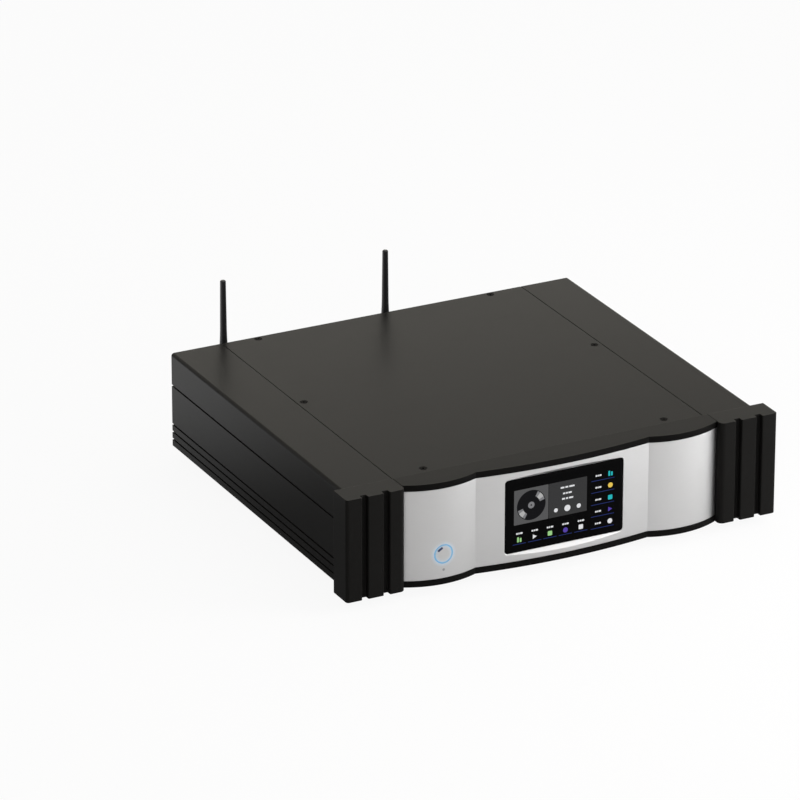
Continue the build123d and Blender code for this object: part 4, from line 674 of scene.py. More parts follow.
# Finishes that differ only in their values
PLAIN_FINISHES = {
    "black_steel": {
        "colour": (0.014, 0.014, 0.0145), "rough": (0.48, 0.62), "scale": 1500.0, "depth": 0.02 * MM,
        "drift": 0.25},
    "bare_aluminium": {
        "colour": (0.62, 0.63, 0.65), "rough": (0.32, 0.46), "scale": 700.0, "depth": 0.004 * MM,
        "stretch": (0.08, 1, 1), "drift": 0.1, "metallic": 1.0},
    "dark_plastic": {
        "colour": (0.012, 0.012, 0.013), "rough": (0.36, 0.46), "scale": 1700.0, "depth": 0.012 * MM},
    "matte_black_plastic": {
        "colour": (0.011, 0.011, 0.012), "rough": (0.44, 0.56), "scale": 1900.0, "depth": 0.014 * MM,
        "specular": 0.4},
    "sensor_plastic": {
        "colour": (0.30, 0.30, 0.31), "rough": (0.18, 0.26), "scale": 1500.0, "depth": 0.002 * MM,
        "drift": 0.1},
    "zinc_steel": {
        "colour": (0.55, 0.56, 0.57), "rough": (0.28, 0.42), "scale": 900.0, "depth": 0.004 * MM,
        "drift": 0.25, "metallic": 1.0},
    "black_screw": {
        "colour": (0.0015, 0.0015, 0.0015), "rough": (0.46, 0.58), "scale": 1600.0, "depth": 0.006 * MM,
        "drift": 0.3, "specular": 0.02},
    "nickel_shell": {
        "colour": (0.60, 0.58, 0.54), "rough": (0.20, 0.32), "scale": 800.0, "depth": 0.003 * MM,
        "drift": 0.12, "metallic": 1.0},
    "gold_plate": {
        "colour": (0.83, 0.56, 0.20), "rough": (0.17, 0.27), "scale": 900.0, "depth": 0.002 * MM,
        "drift": 0.12, "metallic": 1.0},
    "rubber": {
        "colour": (0.015, 0.015, 0.015), "rough": (0.70, 0.85), "scale": 1100.0, "depth": 0.03 * MM,
        "drift": 0.3, "specular": 0.3},
}
OWN_FINISHES = {
    "black_anodised": black_anodised,
    "satin_silver": satin_silver,
    "clear_light_guide": light_guide,
    "display_glass": display_glass,
    "circuit_board": circuit_board,
    "winding": winding,
}


def finish(slot):
    """The material of a slot of the record, made at its first use."""
    found = bpy.data.materials.get(slot)
    if found and found.get("made_here"):
        return found
    if found:
        found.name = slot + ".frame"
    made = OWN_FINISHES[slot]() if slot in OWN_FINISHES else grained(slot, **PLAIN_FINISHES[slot])
    made["made_here"] = True
    return made


# The front

def arc_through(start, over, end):
    """The centre of the arc through three points in plan, and the angle that it turns through."""
    squares = [point.x ** 2 + point.y ** 2 for point in (start, over, end)]
    spread = 2 * (start.x * (over.y - end.y) + over.x * (end.y - start.y) + end.x * (start.y - over.y))
    x = (squares[0] * (over.y - end.y) + squares[1] * (end.y - start.y) + squares[2] * (start.y - over.y))
    y = (squares[0] * (end.x - over.x) + squares[1] * (start.x - end.x) + squares[2] * (over.x - start.x))
    centre = Vector((x / spread, y / spread))
    arm, reach = start - centre, end - centre
    return centre, math.atan2(arm.x * reach.y - arm.y * reach.x, arm.dot(reach))


def lobed_line(name, setback, height):
    """The three lobes of the front drawn in plan as one line, from left to right."""
    sizes = front_sizes()
    face = low("right_cheek").y + setback
    end_x = low("right_cheek").x
    crease_x = end_x - sizes.side_lobe_width
    end_y = face + sizes.end_setback
    crease_y = face + sizes.crease_setback
    bow_y = (end_y + crease_y) / 2 - sizes.side_lobe_bow
    bow_x = (end_x + crease_x) / 2
    left_end, left_crease = Vector((-end_x, end_y)), Vector((-crease_x, crease_y))
    right_end, right_crease = Vector((end_x, end_y)), Vector((crease_x, crease_y))
    lobes = [(left_end, Vector((-bow_x, bow_y)), left_crease, 36),
             (left_crease, Vector((0, face - sizes.crest)), right_crease, 72),
             (right_crease, Vector((bow_x, bow_y)), right_end, 36)]
    piece = start_point(name, (left_end.x, left_end.y, height))
    with editing(piece, whole=True):
        for start, over, end, steps in lobes:
            centre, angle = arc_through(start, over, end)
            bpy.ops.mesh.spin(steps=steps, angle=-angle, center=(centre.x, centre.y, height),
                              axis=(0, 0, 1))
    return piece


def lobed_sheet(name, setback, thickness, bottom, top):
    """A sheet that follows the lobes, of one thickness throughout."""
    piece = lobed_line(name, setback, bottom)
    with editing(piece):
        pull_all((0, thickness, 0))
        pull_all((0, 0, top - bottom))
    return closed(piece)


def lobed_plan(name, setback, back, bottom):
    """A flat plan of the front, lobed before and straight behind."""
    piece = lobed_line(name, setback, bottom)
    with editing(piece):
        pull_all((0, 10 * MM, 0))
        bpy.ops.transform.resize(value=(1, 0, 1), center_override=(0, back, 0))
    return piece


def lobed_block(name, setback, back, bottom, top):
    """A block that is lobed before and flat behind."""
    return thickened(lobed_plan(name, setback, back, bottom), (0, 0, top - bottom))


def trimmed_ends(piece, left, right):
    """Cuts the ends of a piece off flat."""
    sliced(piece, (left, 0, 0), (-1, 0, 0))
    sliced(piece, (right, 0, 0), (1, 0, 0))


def window_outline(name, y, clearance):
    """The rounded outline of the display's window, drawn flat."""
    near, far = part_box("display_glass")
    x, z0, z1 = far.x + clearance, near.z - clearance, far.z + clearance
    outline = drawn(name, [(-x, y, z0), (x, y, z0), (x, y, z1), (-x, y, z1)])
    round_corners(outline, front_sizes().glass_corner + clearance, 10)
    return outline


def window_tool(clearance):
    """A rounded block that cuts the display's window through the front."""
    outline = window_outline("window_tool", low("silver_panel").y - TOOL_LEAD, clearance)
    return thickened(outline, (0, TOOL_LENGTH, 0))


def flare_tool(clearance):
    """A rounded block that widens from the glass to the front, for the window's splayed edges."""
    glass = middle("display_glass")
    reach = high("display_glass") - glass
    y = low("display_glass").y
    depth = y - low("silver_panel").y + MM
    spread = depth * math.tan(front_sizes().window_flare)
    wider, taller = 1 + spread / (reach.x + clearance), 1 + spread / (reach.z + clearance)
    tool = thickened(window_outline("flare_tool", y, clearance), (0, -depth, 0))
    with editing(tool):
        pick(tool, "VERT", lambda corner: corner.co.y < y - depth / 2)
        bpy.ops.transform.resize(value=(wider, 1, taller), center_override=(0, y, glass.z))
    return tool


def round_tool(node, radius):
    """A round bar that cuts a hole through the front where a node stands."""
    hub = middle(node)
    return rod("round_tool", (hub.x, low("silver_panel").y - TOOL_LEAD, hub.z), radius, TOOL_LENGTH)


class STREAMER_OT_cheeks(bpy.types.Operator):
    """Models the two finned ends of the front"""

    bl_idname = "streamer.cheeks"
    bl_label = "Finned ends"

    def execute(self, context):
        sizes = front_sizes()
        (x0, y0, z0), (x1, y1, z1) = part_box("right_cheek")
        pitch = (x1 - x0 + sizes.groove_width) / sizes.bars
        floor = y0 + sizes.groove_depth
        places = [(x0, y1, z0), (x1, y1, z0), (x1, y0, z0)]
        for index in range(sizes.bars - 1, 0, -1):
            right = x0 + index * pitch
            left = right - sizes.groove_width
            places += [(right, y0, z0), (right, floor, z0), (left, floor, z0), (left, y0, z0)]
        places.append((x0, y0, z0))
        right_end = drawn("cheek_right", places)
        on_face = lambda place: abs(place.y - y0) < NEAR
        round_corners(right_end, sizes.inner_radius, 12,
                      lambda place: on_face(place) and abs(place.x - x0) < NEAR)
        round_corners(right_end, sizes.outer_radius, 10,
                      lambda place: on_face(place) and abs(place.x - x1) < NEAR)
        root_radius = 0.6 * MM
        between = lambda place: x0 + sizes.inner_radius + MM < place.x < x1 - sizes.outer_radius - MM
        round_corners(right_end, sizes.bar_radius, 7, lambda place: on_face(place) and between(place))
        round_corners(right_end, root_radius, 4,
                      lambda place: abs(place.y - floor) < NEAR and between(place))
        thickened(right_end, (0, 0, z1 - z0))
        softened(right_end, sizes.edge_break, 3, clamp=False)
        dressed_pair(right_end, "cheek_left", "black_anodised", "right_cheek", "left_cheek")
        return {"FINISHED"}


class STREAMER_OT_fascia(bpy.types.Operator):
    """Models the black lobed front that frames the silver panel"""

    bl_idname = "streamer.fascia"
    bl_label = "Lobed fascia"

    def execute(self, context):
        sizes = front_sizes()
        (x0, _, z0), (x1, y1, z1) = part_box("fascia")
        step = 0.02 * MM
        inset = sizes.lip_proud + sizes.silver_thickness
        lip, brow = z0 + sizes.lip_height, z1 - sizes.lip_height
        piece = lobed_plan("fascia_body", 0, y1, z0)
        with editing(piece):
            pull_all((0, 0, lip - z0))
            for level, shift, rise in ((lip, inset, brow - lip - step), (brow, -inset, z1 - brow - step)):
                pick(piece, "FACE", lambda face: face.calc_center_median().z > level - step / 2)
                pull((0, 0, step))
                pick(piece, "VERT", lambda corner: corner.co.z > level + step / 2
                     and corner.co.y < y1 - MM)
                bpy.ops.transform.translate(value=(0, shift, 0))
                pick(piece, "FACE", lambda face: face.calc_center_median().z > level + step * 0.9)
                pull((0, 0, rise))
        closed(piece)
        trimmed_ends(piece, x0, x1)
        softened(piece, sizes.edge_break, 4, angle=50, clamp=False)
        combined(piece, window_tool(2 * sizes.window_clearance), "DIFFERENCE")
        combined(piece, round_tool("power_button", sizes.ring_radius + 0.2 * MM), "DIFFERENCE")
        combined(piece, round_tool("sensor_window", 1.5 * MM), "DIFFERENCE")
        closed(piece)
        piece.data.materials.append(fascia_black())
        dressed(piece, CHASSIS, "black_anodised", "fascia", angle=27.0)
        return {"FINISHED"}


class STREAMER_OT_silver(bpy.types.Operator):
    """Models the silver panel that lies in the fascia"""

    bl_idname = "streamer.silver"
    bl_label = "Silver panel"

    def execute(self, context):
        sizes = front_sizes()
        (x0, _, z0), (x1, _, z1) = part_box("silver_panel")
        piece = lobed_sheet("silver_front", sizes.lip_proud, sizes.silver_thickness, z0, z1)
        trimmed_ends(piece, x0, x1)
        combined(piece, window_tool(sizes.window_clearance), "DIFFERENCE")
        combined(piece, flare_tool(sizes.window_clearance), "DIFFERENCE")
        closed(piece)
        softened(piece, 0.2 * MM, 4, angle=40, clamp=False)
        combined(piece, round_tool("power_button", sizes.ring_radius + 0.1 * MM), "DIFFERENCE")
        combined(piece, round_tool("sensor_window", 1.3 * MM), "DIFFERENCE")
        closed(piece)
        dressed(piece, CHASSIS, "satin_silver", "silver_panel", angle=27.0)
        return {"FINISHED"}


class STREAMER_OT_display(bpy.types.Operator):
    """Models the display's glass and what its lit screen shows"""

    bl_idname = "streamer.display"
    bl_label = "Display"

    def execute(self, context):
        (x0, y0, z0), (x1, y1, z1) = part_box("display_glass")
        pane = drawn("glass_pane", [(x0, y0, z0), (x1, y0, z0), (x1, y0, z1), (x0, y0, z1)])
        round_corners(pane, front_sizes().glass_corner, 10)
        thickened(pane, (0, y1 - y0, 0))
        softened(pane, 0.3 * MM, 3)
        dressed(pane, CHASSIS, "display_glass", "display_glass")
        screen = joined("screen_graphics", screen_pieces(Vector((0, y0, (z0 + z1) / 2))))
        dressed(screen, CHASSIS, "display_glass")
        return {"FINISHED"}


# In mm: how far lit shapes stand out of the glass, how much more each layer does, how far they reach in
LIGHT_PROUD, LIGHT_STEP, LIGHT_SUNK = 0.03, 0.012, 0.02
WORD_HEIGHT, WORD_CORNER = 1.6, 0.35


def lit_shape(name, centre, colour, spots, layer, radius=0.0):
    """A thin shape of light on the glass, from spots in mm across and up from the screen's centre."""
    proud = (LIGHT_PROUD + LIGHT_STEP * layer) * MM
    piece = drawn(name, [(centre.x + x * MM, centre.y - proud, centre.z + z * MM) for x, z in spots])
    if radius:
        round_corners(piece, radius * MM, 4 if radius < 1 else 14)
    thickened(piece, (0, proud + LIGHT_SUNK * MM, 0))
    piece.data.materials.append(colour)
    return piece


def tile(centre, colour, x0, z0, x1, z1, radius, layer=0):
    """A rounded tile of light."""
    return lit_shape("tile", centre, colour, [(x0, z0), (x1, z0), (x1, z1), (x0, z1)], layer, radius)


def disc(centre, colour, x, z, radius, layer=0):
    """A round spot of light."""
    return tile(centre, colour, x - radius, z - radius, x + radius, z + radius, radius * 0.999, layer)


def wedge(centre, colour, x, z, size):
    """A triangle of light that points right."""
    back, tip, rise = x - size * 0.5, x + size * 0.6, size * 0.6
    return lit_shape("wedge", centre, colour, [(back, z - rise), (tip, z), (back, z + rise)], 0)


def sector(centre, colour, x, z, near, far, start, end, layer):
    """A slice of a ring of light between two radii and two angles in degrees."""
    turns = [math.radians(start + (end - start) * index / 8) for index in range(9)]
    spots = [(x + far * math.cos(turn), z + far * math.sin(turn)) for turn in turns]
    spots += [(x + near * math.cos(turn), z + near * math.sin(turn)) for turn in reversed(turns)]
    return lit_shape("sector", centre, colour, spots, layer)


def player_disc(centre, x, z, colours):
    """A plain turning disc with a soft sheen on its two sides and a small hub."""
    black, sheen, hub = colours
    rim, near, far, hub_radius, hole = 14.3, 8.6, 13.6, 3.2, 0.8
    lit = [disc(centre, black, x, z, rim, 1)]
    for turn in (38, 218):
        for colour, half, layer in ((hub, 24, 2), (sheen, 11, 3)):
            lit.append(sector(centre, colour, x, z, near, far, turn - half, turn + half, layer))
    return lit + [disc(centre, hub, x, z, hub_radius, 2), disc(centre, black, x, z, hole, 3)]


def screen_pieces(centre):
    """The screen's own plain layout: a player panel, a row of tiles and a column of tiles."""
    tint = finishes()
    grey = screen_light("screen_grey", tint.screen_panel)
    slate = screen_light("screen_slate", tuple(value * 0.42 for value in tint.screen_panel))
    black = screen_light("screen_black", (0.006, 0.006, 0.007))
    sheen = screen_light("screen_sheen", (0.46, 0.46, 0.46))
    hub = screen_light("screen_hub", (0.22, 0.22, 0.23))
    white = screen_light("screen_white", tint.screen_white)
    line = screen_light("screen_line", tint.screen_line)
    teal = screen_light("screen_teal", (0.02, 0.50, 0.54))
    amber = screen_light("screen_amber", (0.86, 0.60, 0.10))
    violet = screen_light("screen_violet", (0.10, 0.06, 0.42))
    green = screen_light("screen_green", (0.34, 0.66, 0.26))
    lit = [tile(centre, grey, -50, -9, -15.9, 24.2, 0.6), tile(centre, slate, -15.5, -9, 22.7, 24.2, 0.6)]
    lit += player_disc(centre, -32.9, 7.6, (black, sheen, hub))
    for z, left, right in ((17.2, -3.7, 10.2), (11.4, -1.3, 7.5), (6.3, -2.2, 9.0)):
        lit += words(centre, white, left, right, z, 1)
    for x, radius in ((-8.2, 1.9), (3.3, 3.0), (14.7, 2.1)):
        lit.append(disc(centre, white, x, -2.5, radius, 1))
    column = [(teal, 3, 22.5), (amber, 0, 11.1), (teal, 2, -0.6), (violet, 1, -12.0), (white, 0, -23.6)]
    caption = words(centre, white, 31.3, 37.2, -0.8, 0) + [tile(centre, line, 27.1, -4.9, 50.4, -4.3, 0.2)]
    lit += repeated(joined("column_caption", caption), [(0, z) for colour, kind, z in column])
    lit += [icon(centre, colour, 46.3, z, kind) for colour, kind, z in column]
    row = [(green, 3, -44.5), (white, 1, -29.2), (green, 2, -13.9), (violet, 0, 1.6), (white, 2, 17.1)]
    caption = words(centre, white, -3.2, 3.2, -18.3, 0) + [tile(centre, line, -6.6, -27.9, 6.6, -27.3, 0.2)]
    lit += repeated(joined("row_caption", caption), [(x, 0) for colour, kind, x in row])
    lit += [icon(centre, colour, x, -23.4, kind) for colour, kind, x in row]
    return lit


def repeated(pattern, shifts):
    """Copies of a pattern on the glass, moved across and up in mm, in place of the pattern."""
    copies = [copied(pattern, pattern.name + "_copy", (x * MM, 0, z * MM)) for x, z in shifts]
    discard(pattern)
    return copies


def words(centre, colour, left, right, z, layer):
    """A line of short plain bars that stands for words on the screen."""
    width = right - left
    return [tile(centre, colour, left + first * width, z, left + last * width, z + WORD_HEIGHT,
                 WORD_CORNER, layer)
            for first, last in ((0.0, 0.27), (0.34, 0.55), (0.62, 1.0))]


def icon(centre, colour, x, z, kind):
    """One of four plain signs: a dot, a wedge, a square or a pair of bars."""
    if kind == 0:
        return disc(centre, colour, x, z, 2.4)
    if kind == 1:
        return wedge(centre, colour, x, z, 3.6)
    if kind == 2:
        return tile(centre, colour, x - 2.2, z - 2.2, x + 2.2, z + 2.2, 0.8)
    bars = [tile(centre, colour, x - 2.2, z - 2.4, x - 0.4, z + 2.4, 0.4),
            tile(centre, colour, x + 0.4, z - 2.4, x + 2.2, z + 1.4, 0.4)]
    return joined("bars", bars)


BAR_LEAD = 10 * MM  # how far before the silver panel the button's bars start
LOBE_REACH = 40 * MM  # how far the tool that shapes their faces reaches up and down
TICK_ANGLE = math.radians(125)
TICK_INNER, TICK_OUTER, TICK_HALF, TICK_CORNER = 4.7 * MM, 6.9 * MM, 2.7 * MM, 0.7 * MM


class STREAMER_OT_button(bpy.types.Operator):
    """Models the power button, its mark, its light ring and the sensor below it"""

    bl_idname = "streamer.button"
    bl_label = "Power button"

    def execute(self, context):
        sizes = front_sizes()
        hub = middle("power_button")
        sunk = sizes.lip_proud + 0.1 * MM
        cap = self.bar("button_cap", hub, high("power_button").y, sizes.button_radius, sizes.lip_proud,
                       0.3 * MM, 3)
        dressed(cap, "power_button", "satin_silver", "power_button")
        dressed(self.mark(hub), "power_button", "dark_plastic")
        ring = self.bar("light_ring", hub, high("button_light_ring").y, sizes.ring_radius, sunk,
                        0.2 * MM, 2, sizes.ring_bore)
        dressed(ring, CHASSIS, "clear_light_guide", "button_light_ring")
        lens = self.bar("sensor_lens", middle("sensor_window"), high("sensor_window").y, 1.2 * MM, sunk,
                        0.25 * MM, 3)
        dressed(lens, CHASSIS, "sensor_plastic", "sensor_window")
        return {"FINISHED"}

    def bar(self, name, hub, back, radius, setback, edge, segments, bore=0.0):
        """A round bar with softened edges, or a tube, whose face follows the lobe."""
        front = low("silver_panel").y - BAR_LEAD
        piece = rod(name, (hub.x, front, hub.z), radius, back - front)
        if bore:
            tool = rod("bore", (hub.x, front - MM, hub.z), bore, TOOL_LENGTH)
            combined(piece, tool, "DIFFERENCE")
        height = middle("power_button").z
        tool = lobed_block("lobe_tool", setback, back, height - LOBE_REACH, height + LOBE_REACH)
        closed(combined(piece, tool, "INTERSECT"))
        return softened(piece, edge, segments, angle=50)

    def mark(self, hub):
        """The short dark tick along the rim of the button, at about eleven o'clock."""
        out = Vector((math.cos(TICK_ANGLE), 0, math.sin(TICK_ANGLE)))
        along = Vector((-out.z, 0, out.x)) * TICK_HALF
        centre = Vector((hub.x, low("silver_panel").y - BAR_LEAD, hub.z))
        inner, outer = centre + out * TICK_INNER, centre + out * TICK_OUTER
        spots = [inner + along, inner - along, outer - along, outer + along]
        tick = drawn("button_tick", [tuple(spot) for spot in spots])
        round_corners(tick, TICK_CORNER, 5)
        thickened(tick, (0, 3 * BAR_LEAD, 0))
        proud, thickness = 0.03 * MM, 0.3 * MM
        sheet = lobed_sheet("lobe_tool", front_sizes().lip_proud - proud, thickness,
                            hub.z - LOBE_REACH / 2, hub.z + LOBE_REACH / 2)
        closed(combined(tick, sheet, "INTERSECT"))
        tick.data.materials.append(grained("tick_blue", (0.010, 0.020, 0.085), rough=(0.3, 0.4),
                                           scale=1500.0, depth=0.004 * MM))
        return tick


# The case

# The middles of the side grooves above the foot of a side panel
GROOVE_LIFTS = (7.3 * MM, 14.7 * MM, 22.1 * MM, 60.6 * MM)


class STREAMER_OT_sides(bpy.types.Operator):
    """Models the two grooved side panels"""

    bl_idname = "streamer.sides"
    bl_label = "Side panels"

    def execute(self, context):
        sizes = case_sizes()
        (x0, y0, z0), (x1, y1, z1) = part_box("right_side_panel")
        inside = x1 - sizes.wall
        seam = x0 + sizes.ledge
        under = z1 - sizes.strip
        ledge = z1 - sizes.cover_thickness
        places = [(x0, under), (inside, under), (inside, z0), (x1, z0)]
        floor = x1 - sizes.groove_depth
        for lift in GROOVE_LIFTS:
            bottom, top = z0 + lift - sizes.groove_width / 2, z0 + lift + sizes.groove_width / 2
            places += [(x1, bottom), (floor, bottom), (floor, top), (x1, top)]
        places += [(x1, z1), (seam, z1), (seam, ledge), (x0, ledge)]
        right_side = drawn("side_right", [(x, y0, z) for x, z in places])
        round_corners(right_side, sizes.top_radius, 8,
                      lambda place: abs(place.x - x1) < NEAR and abs(place.z - z1) < NEAR)
        round_corners(right_side, sizes.bottom_break, 3,
                      lambda place: abs(place.x - x1) < NEAR and abs(place.z - z0) < NEAR)
        thickened(right_side, (0, y1 - y0, 0))
        softened(right_side, sizes.edge_break, 2, angle=50)
        dressed_pair(right_side, "side_left", "black_anodised", "right_side_panel", "left_side_panel")
        return {"FINISHED"}


class STREAMER_OT_cover(bpy.types.Operator):
    """Models the top cover with its six sunk screws"""

    bl_idname = "streamer.cover"
    bl_label = "Top cover"

    def execute(self, context):
        sizes = case_sizes()
        x1, y1, z1 = high("top_cover")
        y0 = low("top_cover").y
        lid = block("cover_plate", (-x1, y0, z1 - sizes.cover_thickness), (x1, y1, z1))
        softened(lid, sizes.edge_break, 2)
        bore, lead = 1.9 * MM, 0.35 * MM
        rim = sizes.screw_sink + lead
        profile = [(0, -10 * MM), (bore, -10 * MM), (bore, -bore), (sizes.screw_sink, -lead), (rim, NEAR),
                   (rim, MM), (0, MM)]
        sink = turned("sink", profile, (0, 0, z1))
        for spot in screw_spots("cover_screws"):
            combined(lid, copied(sink, "sink_tool", (spot.x, spot.y, 0)), "DIFFERENCE")
        discard(sink)
        closed(lid)
        dressed(lid, CHASSIS, "black_anodised", "top_cover")
        softened_node("cover_screws", "cover_screw_heads", "black_screw", 0.15 * MM)
        return {"FINISHED"}


def screw_spots(node):
    """The places in plan of a node's separate screws, from the loose parts of its mesh."""
    shape = bmesh.new()
    shape.from_mesh(NODES[node].data)
    bmesh.ops.remove_doubles(shape, verts=shape.verts, dist=WELD)
    waiting = set(shape.verts)
    spots = []
    while waiting:
        reached = [waiting.pop()]
        for corner in reached:
            for edge in corner.link_edges:
                other = edge.other_vert(corner)
                if other in waiting:
                    waiting.discard(other)
                    reached.append(other)
        xs = [corner.co.x for corner in reached]
        ys = [corner.co.y for corner in reached]
        spots.append(Vector(((min(xs) + max(xs)) / 2, (min(ys) + max(ys)) / 2)))
    shape.free()
    return sorted(spots, key=lambda spot: (round(spot.x, 4), round(spot.y, 4)))


class STREAMER_OT_sheets(bpy.types.Operator):
    """Softens the rear panel and the base plate"""

    bl_idname = "streamer.sheets"
    bl_label = "Rear and base"

    def execute(self, context):
        softened_node("rear_panel", "rear_plate", "black_steel", 0.2 * MM)
        softened_node("base_plate", "base_tray", "black_steel", 0.2 * MM)
        return {"FINISHED"}


class STREAMER_OT_feet(bpy.types.Operator):
    """Softens the four feet and their rubber pads"""

    bl_idname = "streamer.feet"
    bl_label = "Feet"

    def execute(self, context):
        softened_node("foot_cups", "foot_rings", "black_anodised", 0.4 * MM, 3)
        softened_node("foot_pads", "foot_rubbers", "rubber", 0.3 * MM, 3)
        return {"FINISHED"}


# The rear

class STREAMER_OT_sockets(bpy.types.Operator):
    """Softens the sockets of the rear and adds their contacts and rings"""

    bl_idname = "streamer.sockets"
    bl_label = "Rear sockets"

    def execute(self, context):
        for node, slot, width in (
                ("xlr_sockets", "dark_plastic", 0.35), ("phono_sockets", "dark_plastic", 0.2),
                ("optical_socket", "dark_plastic", 0.2), ("network_socket", "nickel_shell", 0.2),
                ("phono_barrels", "gold_plate", 0.15), ("xlr_pins", "nickel_shell", 0.3)):
            softened_node(node, node + "_soft", slot, width * MM)
        dressed(self.usb_shells(), CHASSIS, "nickel_shell", "usb_sockets")
        dressed(self.phono_rings(), CHASSIS, "dark_plastic")
        dressed(self.network_contacts(), CHASSIS, "gold_plate")
        dressed(self.network_lamps(), CHASSIS, "dark_plastic")
        dressed(self.usb_contacts(), CHASSIS, "gold_plate")
        return {"FINISHED"}

    def phono_rings(self):
        """Coloured collars round the phono barrels."""
        first, last = low("phono_barrels"), high("phono_barrels")
        radius = (last.z - first.z) / 2
        seat = high("phono_sockets").y
        z = (first.z + last.z) / 2
        xs = (first.x + radius, (first.x + last.x) / 2, last.x - radius)
        tones = [("collar_white", (0.55, 0.55, 0.53)), ("collar_red", (0.36, 0.02, 0.02)),
                 ("collar_orange", (0.50, 0.16, 0.02))]
        collars = []
        near, far, bevel = radius + 0.05 * MM, radius + 1.25 * MM, 0.3 * MM
        sunk, shoulder, rise = 0.1 * MM, 0.35 * MM, 0.6 * MM
        profile = [(near, -sunk), (far, -sunk), (far, shoulder), (far - bevel, rise), (near, rise),
                   (near, -sunk)]
        first_collar = turned("collar", profile, (xs[0], seat, z), ALONG_Y)
        for x, (name, tone) in zip(xs, tones):
            collar = copied(first_collar, name, (x - xs[0], 0, 0))
            collar.data.materials.append(grained(name, tone, rough=(0.3, 0.4), scale=1500.0,
                                                 depth=0.006 * MM, drift=0.15))
            collars.append(collar)
        discard(first_collar)
        return joined("phono_collars", collars)

    def network_contacts(self):
        """The eight sprung contacts in the network socket's mouth."""
        face = high("network_socket")
        count, pitch, thickness = 8, 1.02 * MM, 0.4 * MM
        left = middle("network_socket").x - ((count - 1) * pitch + thickness) / 2
        outline = [(9.5, 3.4), (2.0, 3.4), (2.0, 3.8), (8.0, 6.4), (8.4, 6.2), (4.0, 3.9), (9.5, 3.9)]
        wire = drawn("wire", [(left, face.y - in_mm * MM, face.z - down * MM) for in_mm, down in outline])
        thickened(wire, (thickness, 0, 0))
        wires = [wire] + [copied(wire, "wire", (index * pitch, 0, 0)) for index in range(1, count)]
        return joined("network_wires", wires)

    def network_lamps(self):
        """Two small lamps above the network socket's mouth."""
        face = high("network_socket")
        corners = [(-1.4, -2.0), (1.4, -2.0), (1.4, -0.7), (-1.4, -0.7)]
        aside = 5.2 * MM
        centre = middle("network_socket").x - aside
        green = drawn("lamp", [(centre + a * MM, face.y - 0.05 * MM, face.z + b * MM) for a, b in corners])
        round_corners(green, 0.3 * MM, 3)
        thickened(green, (0, 0.25 * MM, 0))
        softened(green, 0.06 * MM, 2, angle=50)
        amber = copied(green, "lamp", (2 * aside, 0, 0))
        for lamp, name, tone in ((green, "lamp_green", (0.05, 0.30, 0.06)),
                                 (amber, "lamp_amber", (0.42, 0.22, 0.03))):
            lamp.data.materials.append(grained(name, tone, rough=(0.15, 0.22), scale=1500.0,
                                               depth=0.002 * MM))
        return joined("network_lamps", [green, amber])

    def usb_shells(self):
        """The two double USB sockets: one is softened and copied for the other."""
        near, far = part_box("usb_sockets")
        right = soft_copy("usb_sockets", "usb_shell", 0.15 * MM)
        with editing(right):
            pick(right, "FACE", lambda face: face.calc_center_median().x < (near.x + far.x) / 2)
            bpy.ops.mesh.delete(type="VERT")
        start = min(corner.co.x for corner in right.data.vertices)
        left = copied(right, "usb_shell_left", (near.x - start, 0, 0))
        return joined("usb_sockets_soft", [right, left])

    def usb_contacts(self):
        """Four contacts on the tongue of each USB mouth."""
        near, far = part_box("usb_sockets")
        half, pitch = 7.2 * MM, 2.3 * MM
        strip = block("strip", (-0.5 * MM, far.y - 9.5 * MM, -0.12 * MM),
                      (0.5 * MM, far.y - 2.6 * MM, 0.05 * MM))
        softened(strip, 0.04 * MM, 1)
        strips = []
        for x in (near.x + half, far.x - half):
            for z in usb_tongues():
                for index in range(4):
                    strips.append(copied(strip, "strip", (x + (index - 1.5) * pitch, 0, z)))
        discard(strip)
        return joined("usb_strips", strips)


def usb_tongues():
    """The heights of the undersides of the USB tongues, from the faces inside the mouths."""
    near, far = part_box("usb_sockets")
    heights = set()
    for face in NODES["usb_sockets"].data.polygons:
        inside = near.x + 2 * MM < face.center.x < near.x + 12 * MM
        deep = far.y - 12 * MM < face.center.y < far.y - 1.5 * MM
        if inside and deep and face.normal.z < -0.99 and near.z + MM < face.center.z < far.z - MM:
            heights.add(round(face.center.z, 5))
    return sorted(heights)[::2]


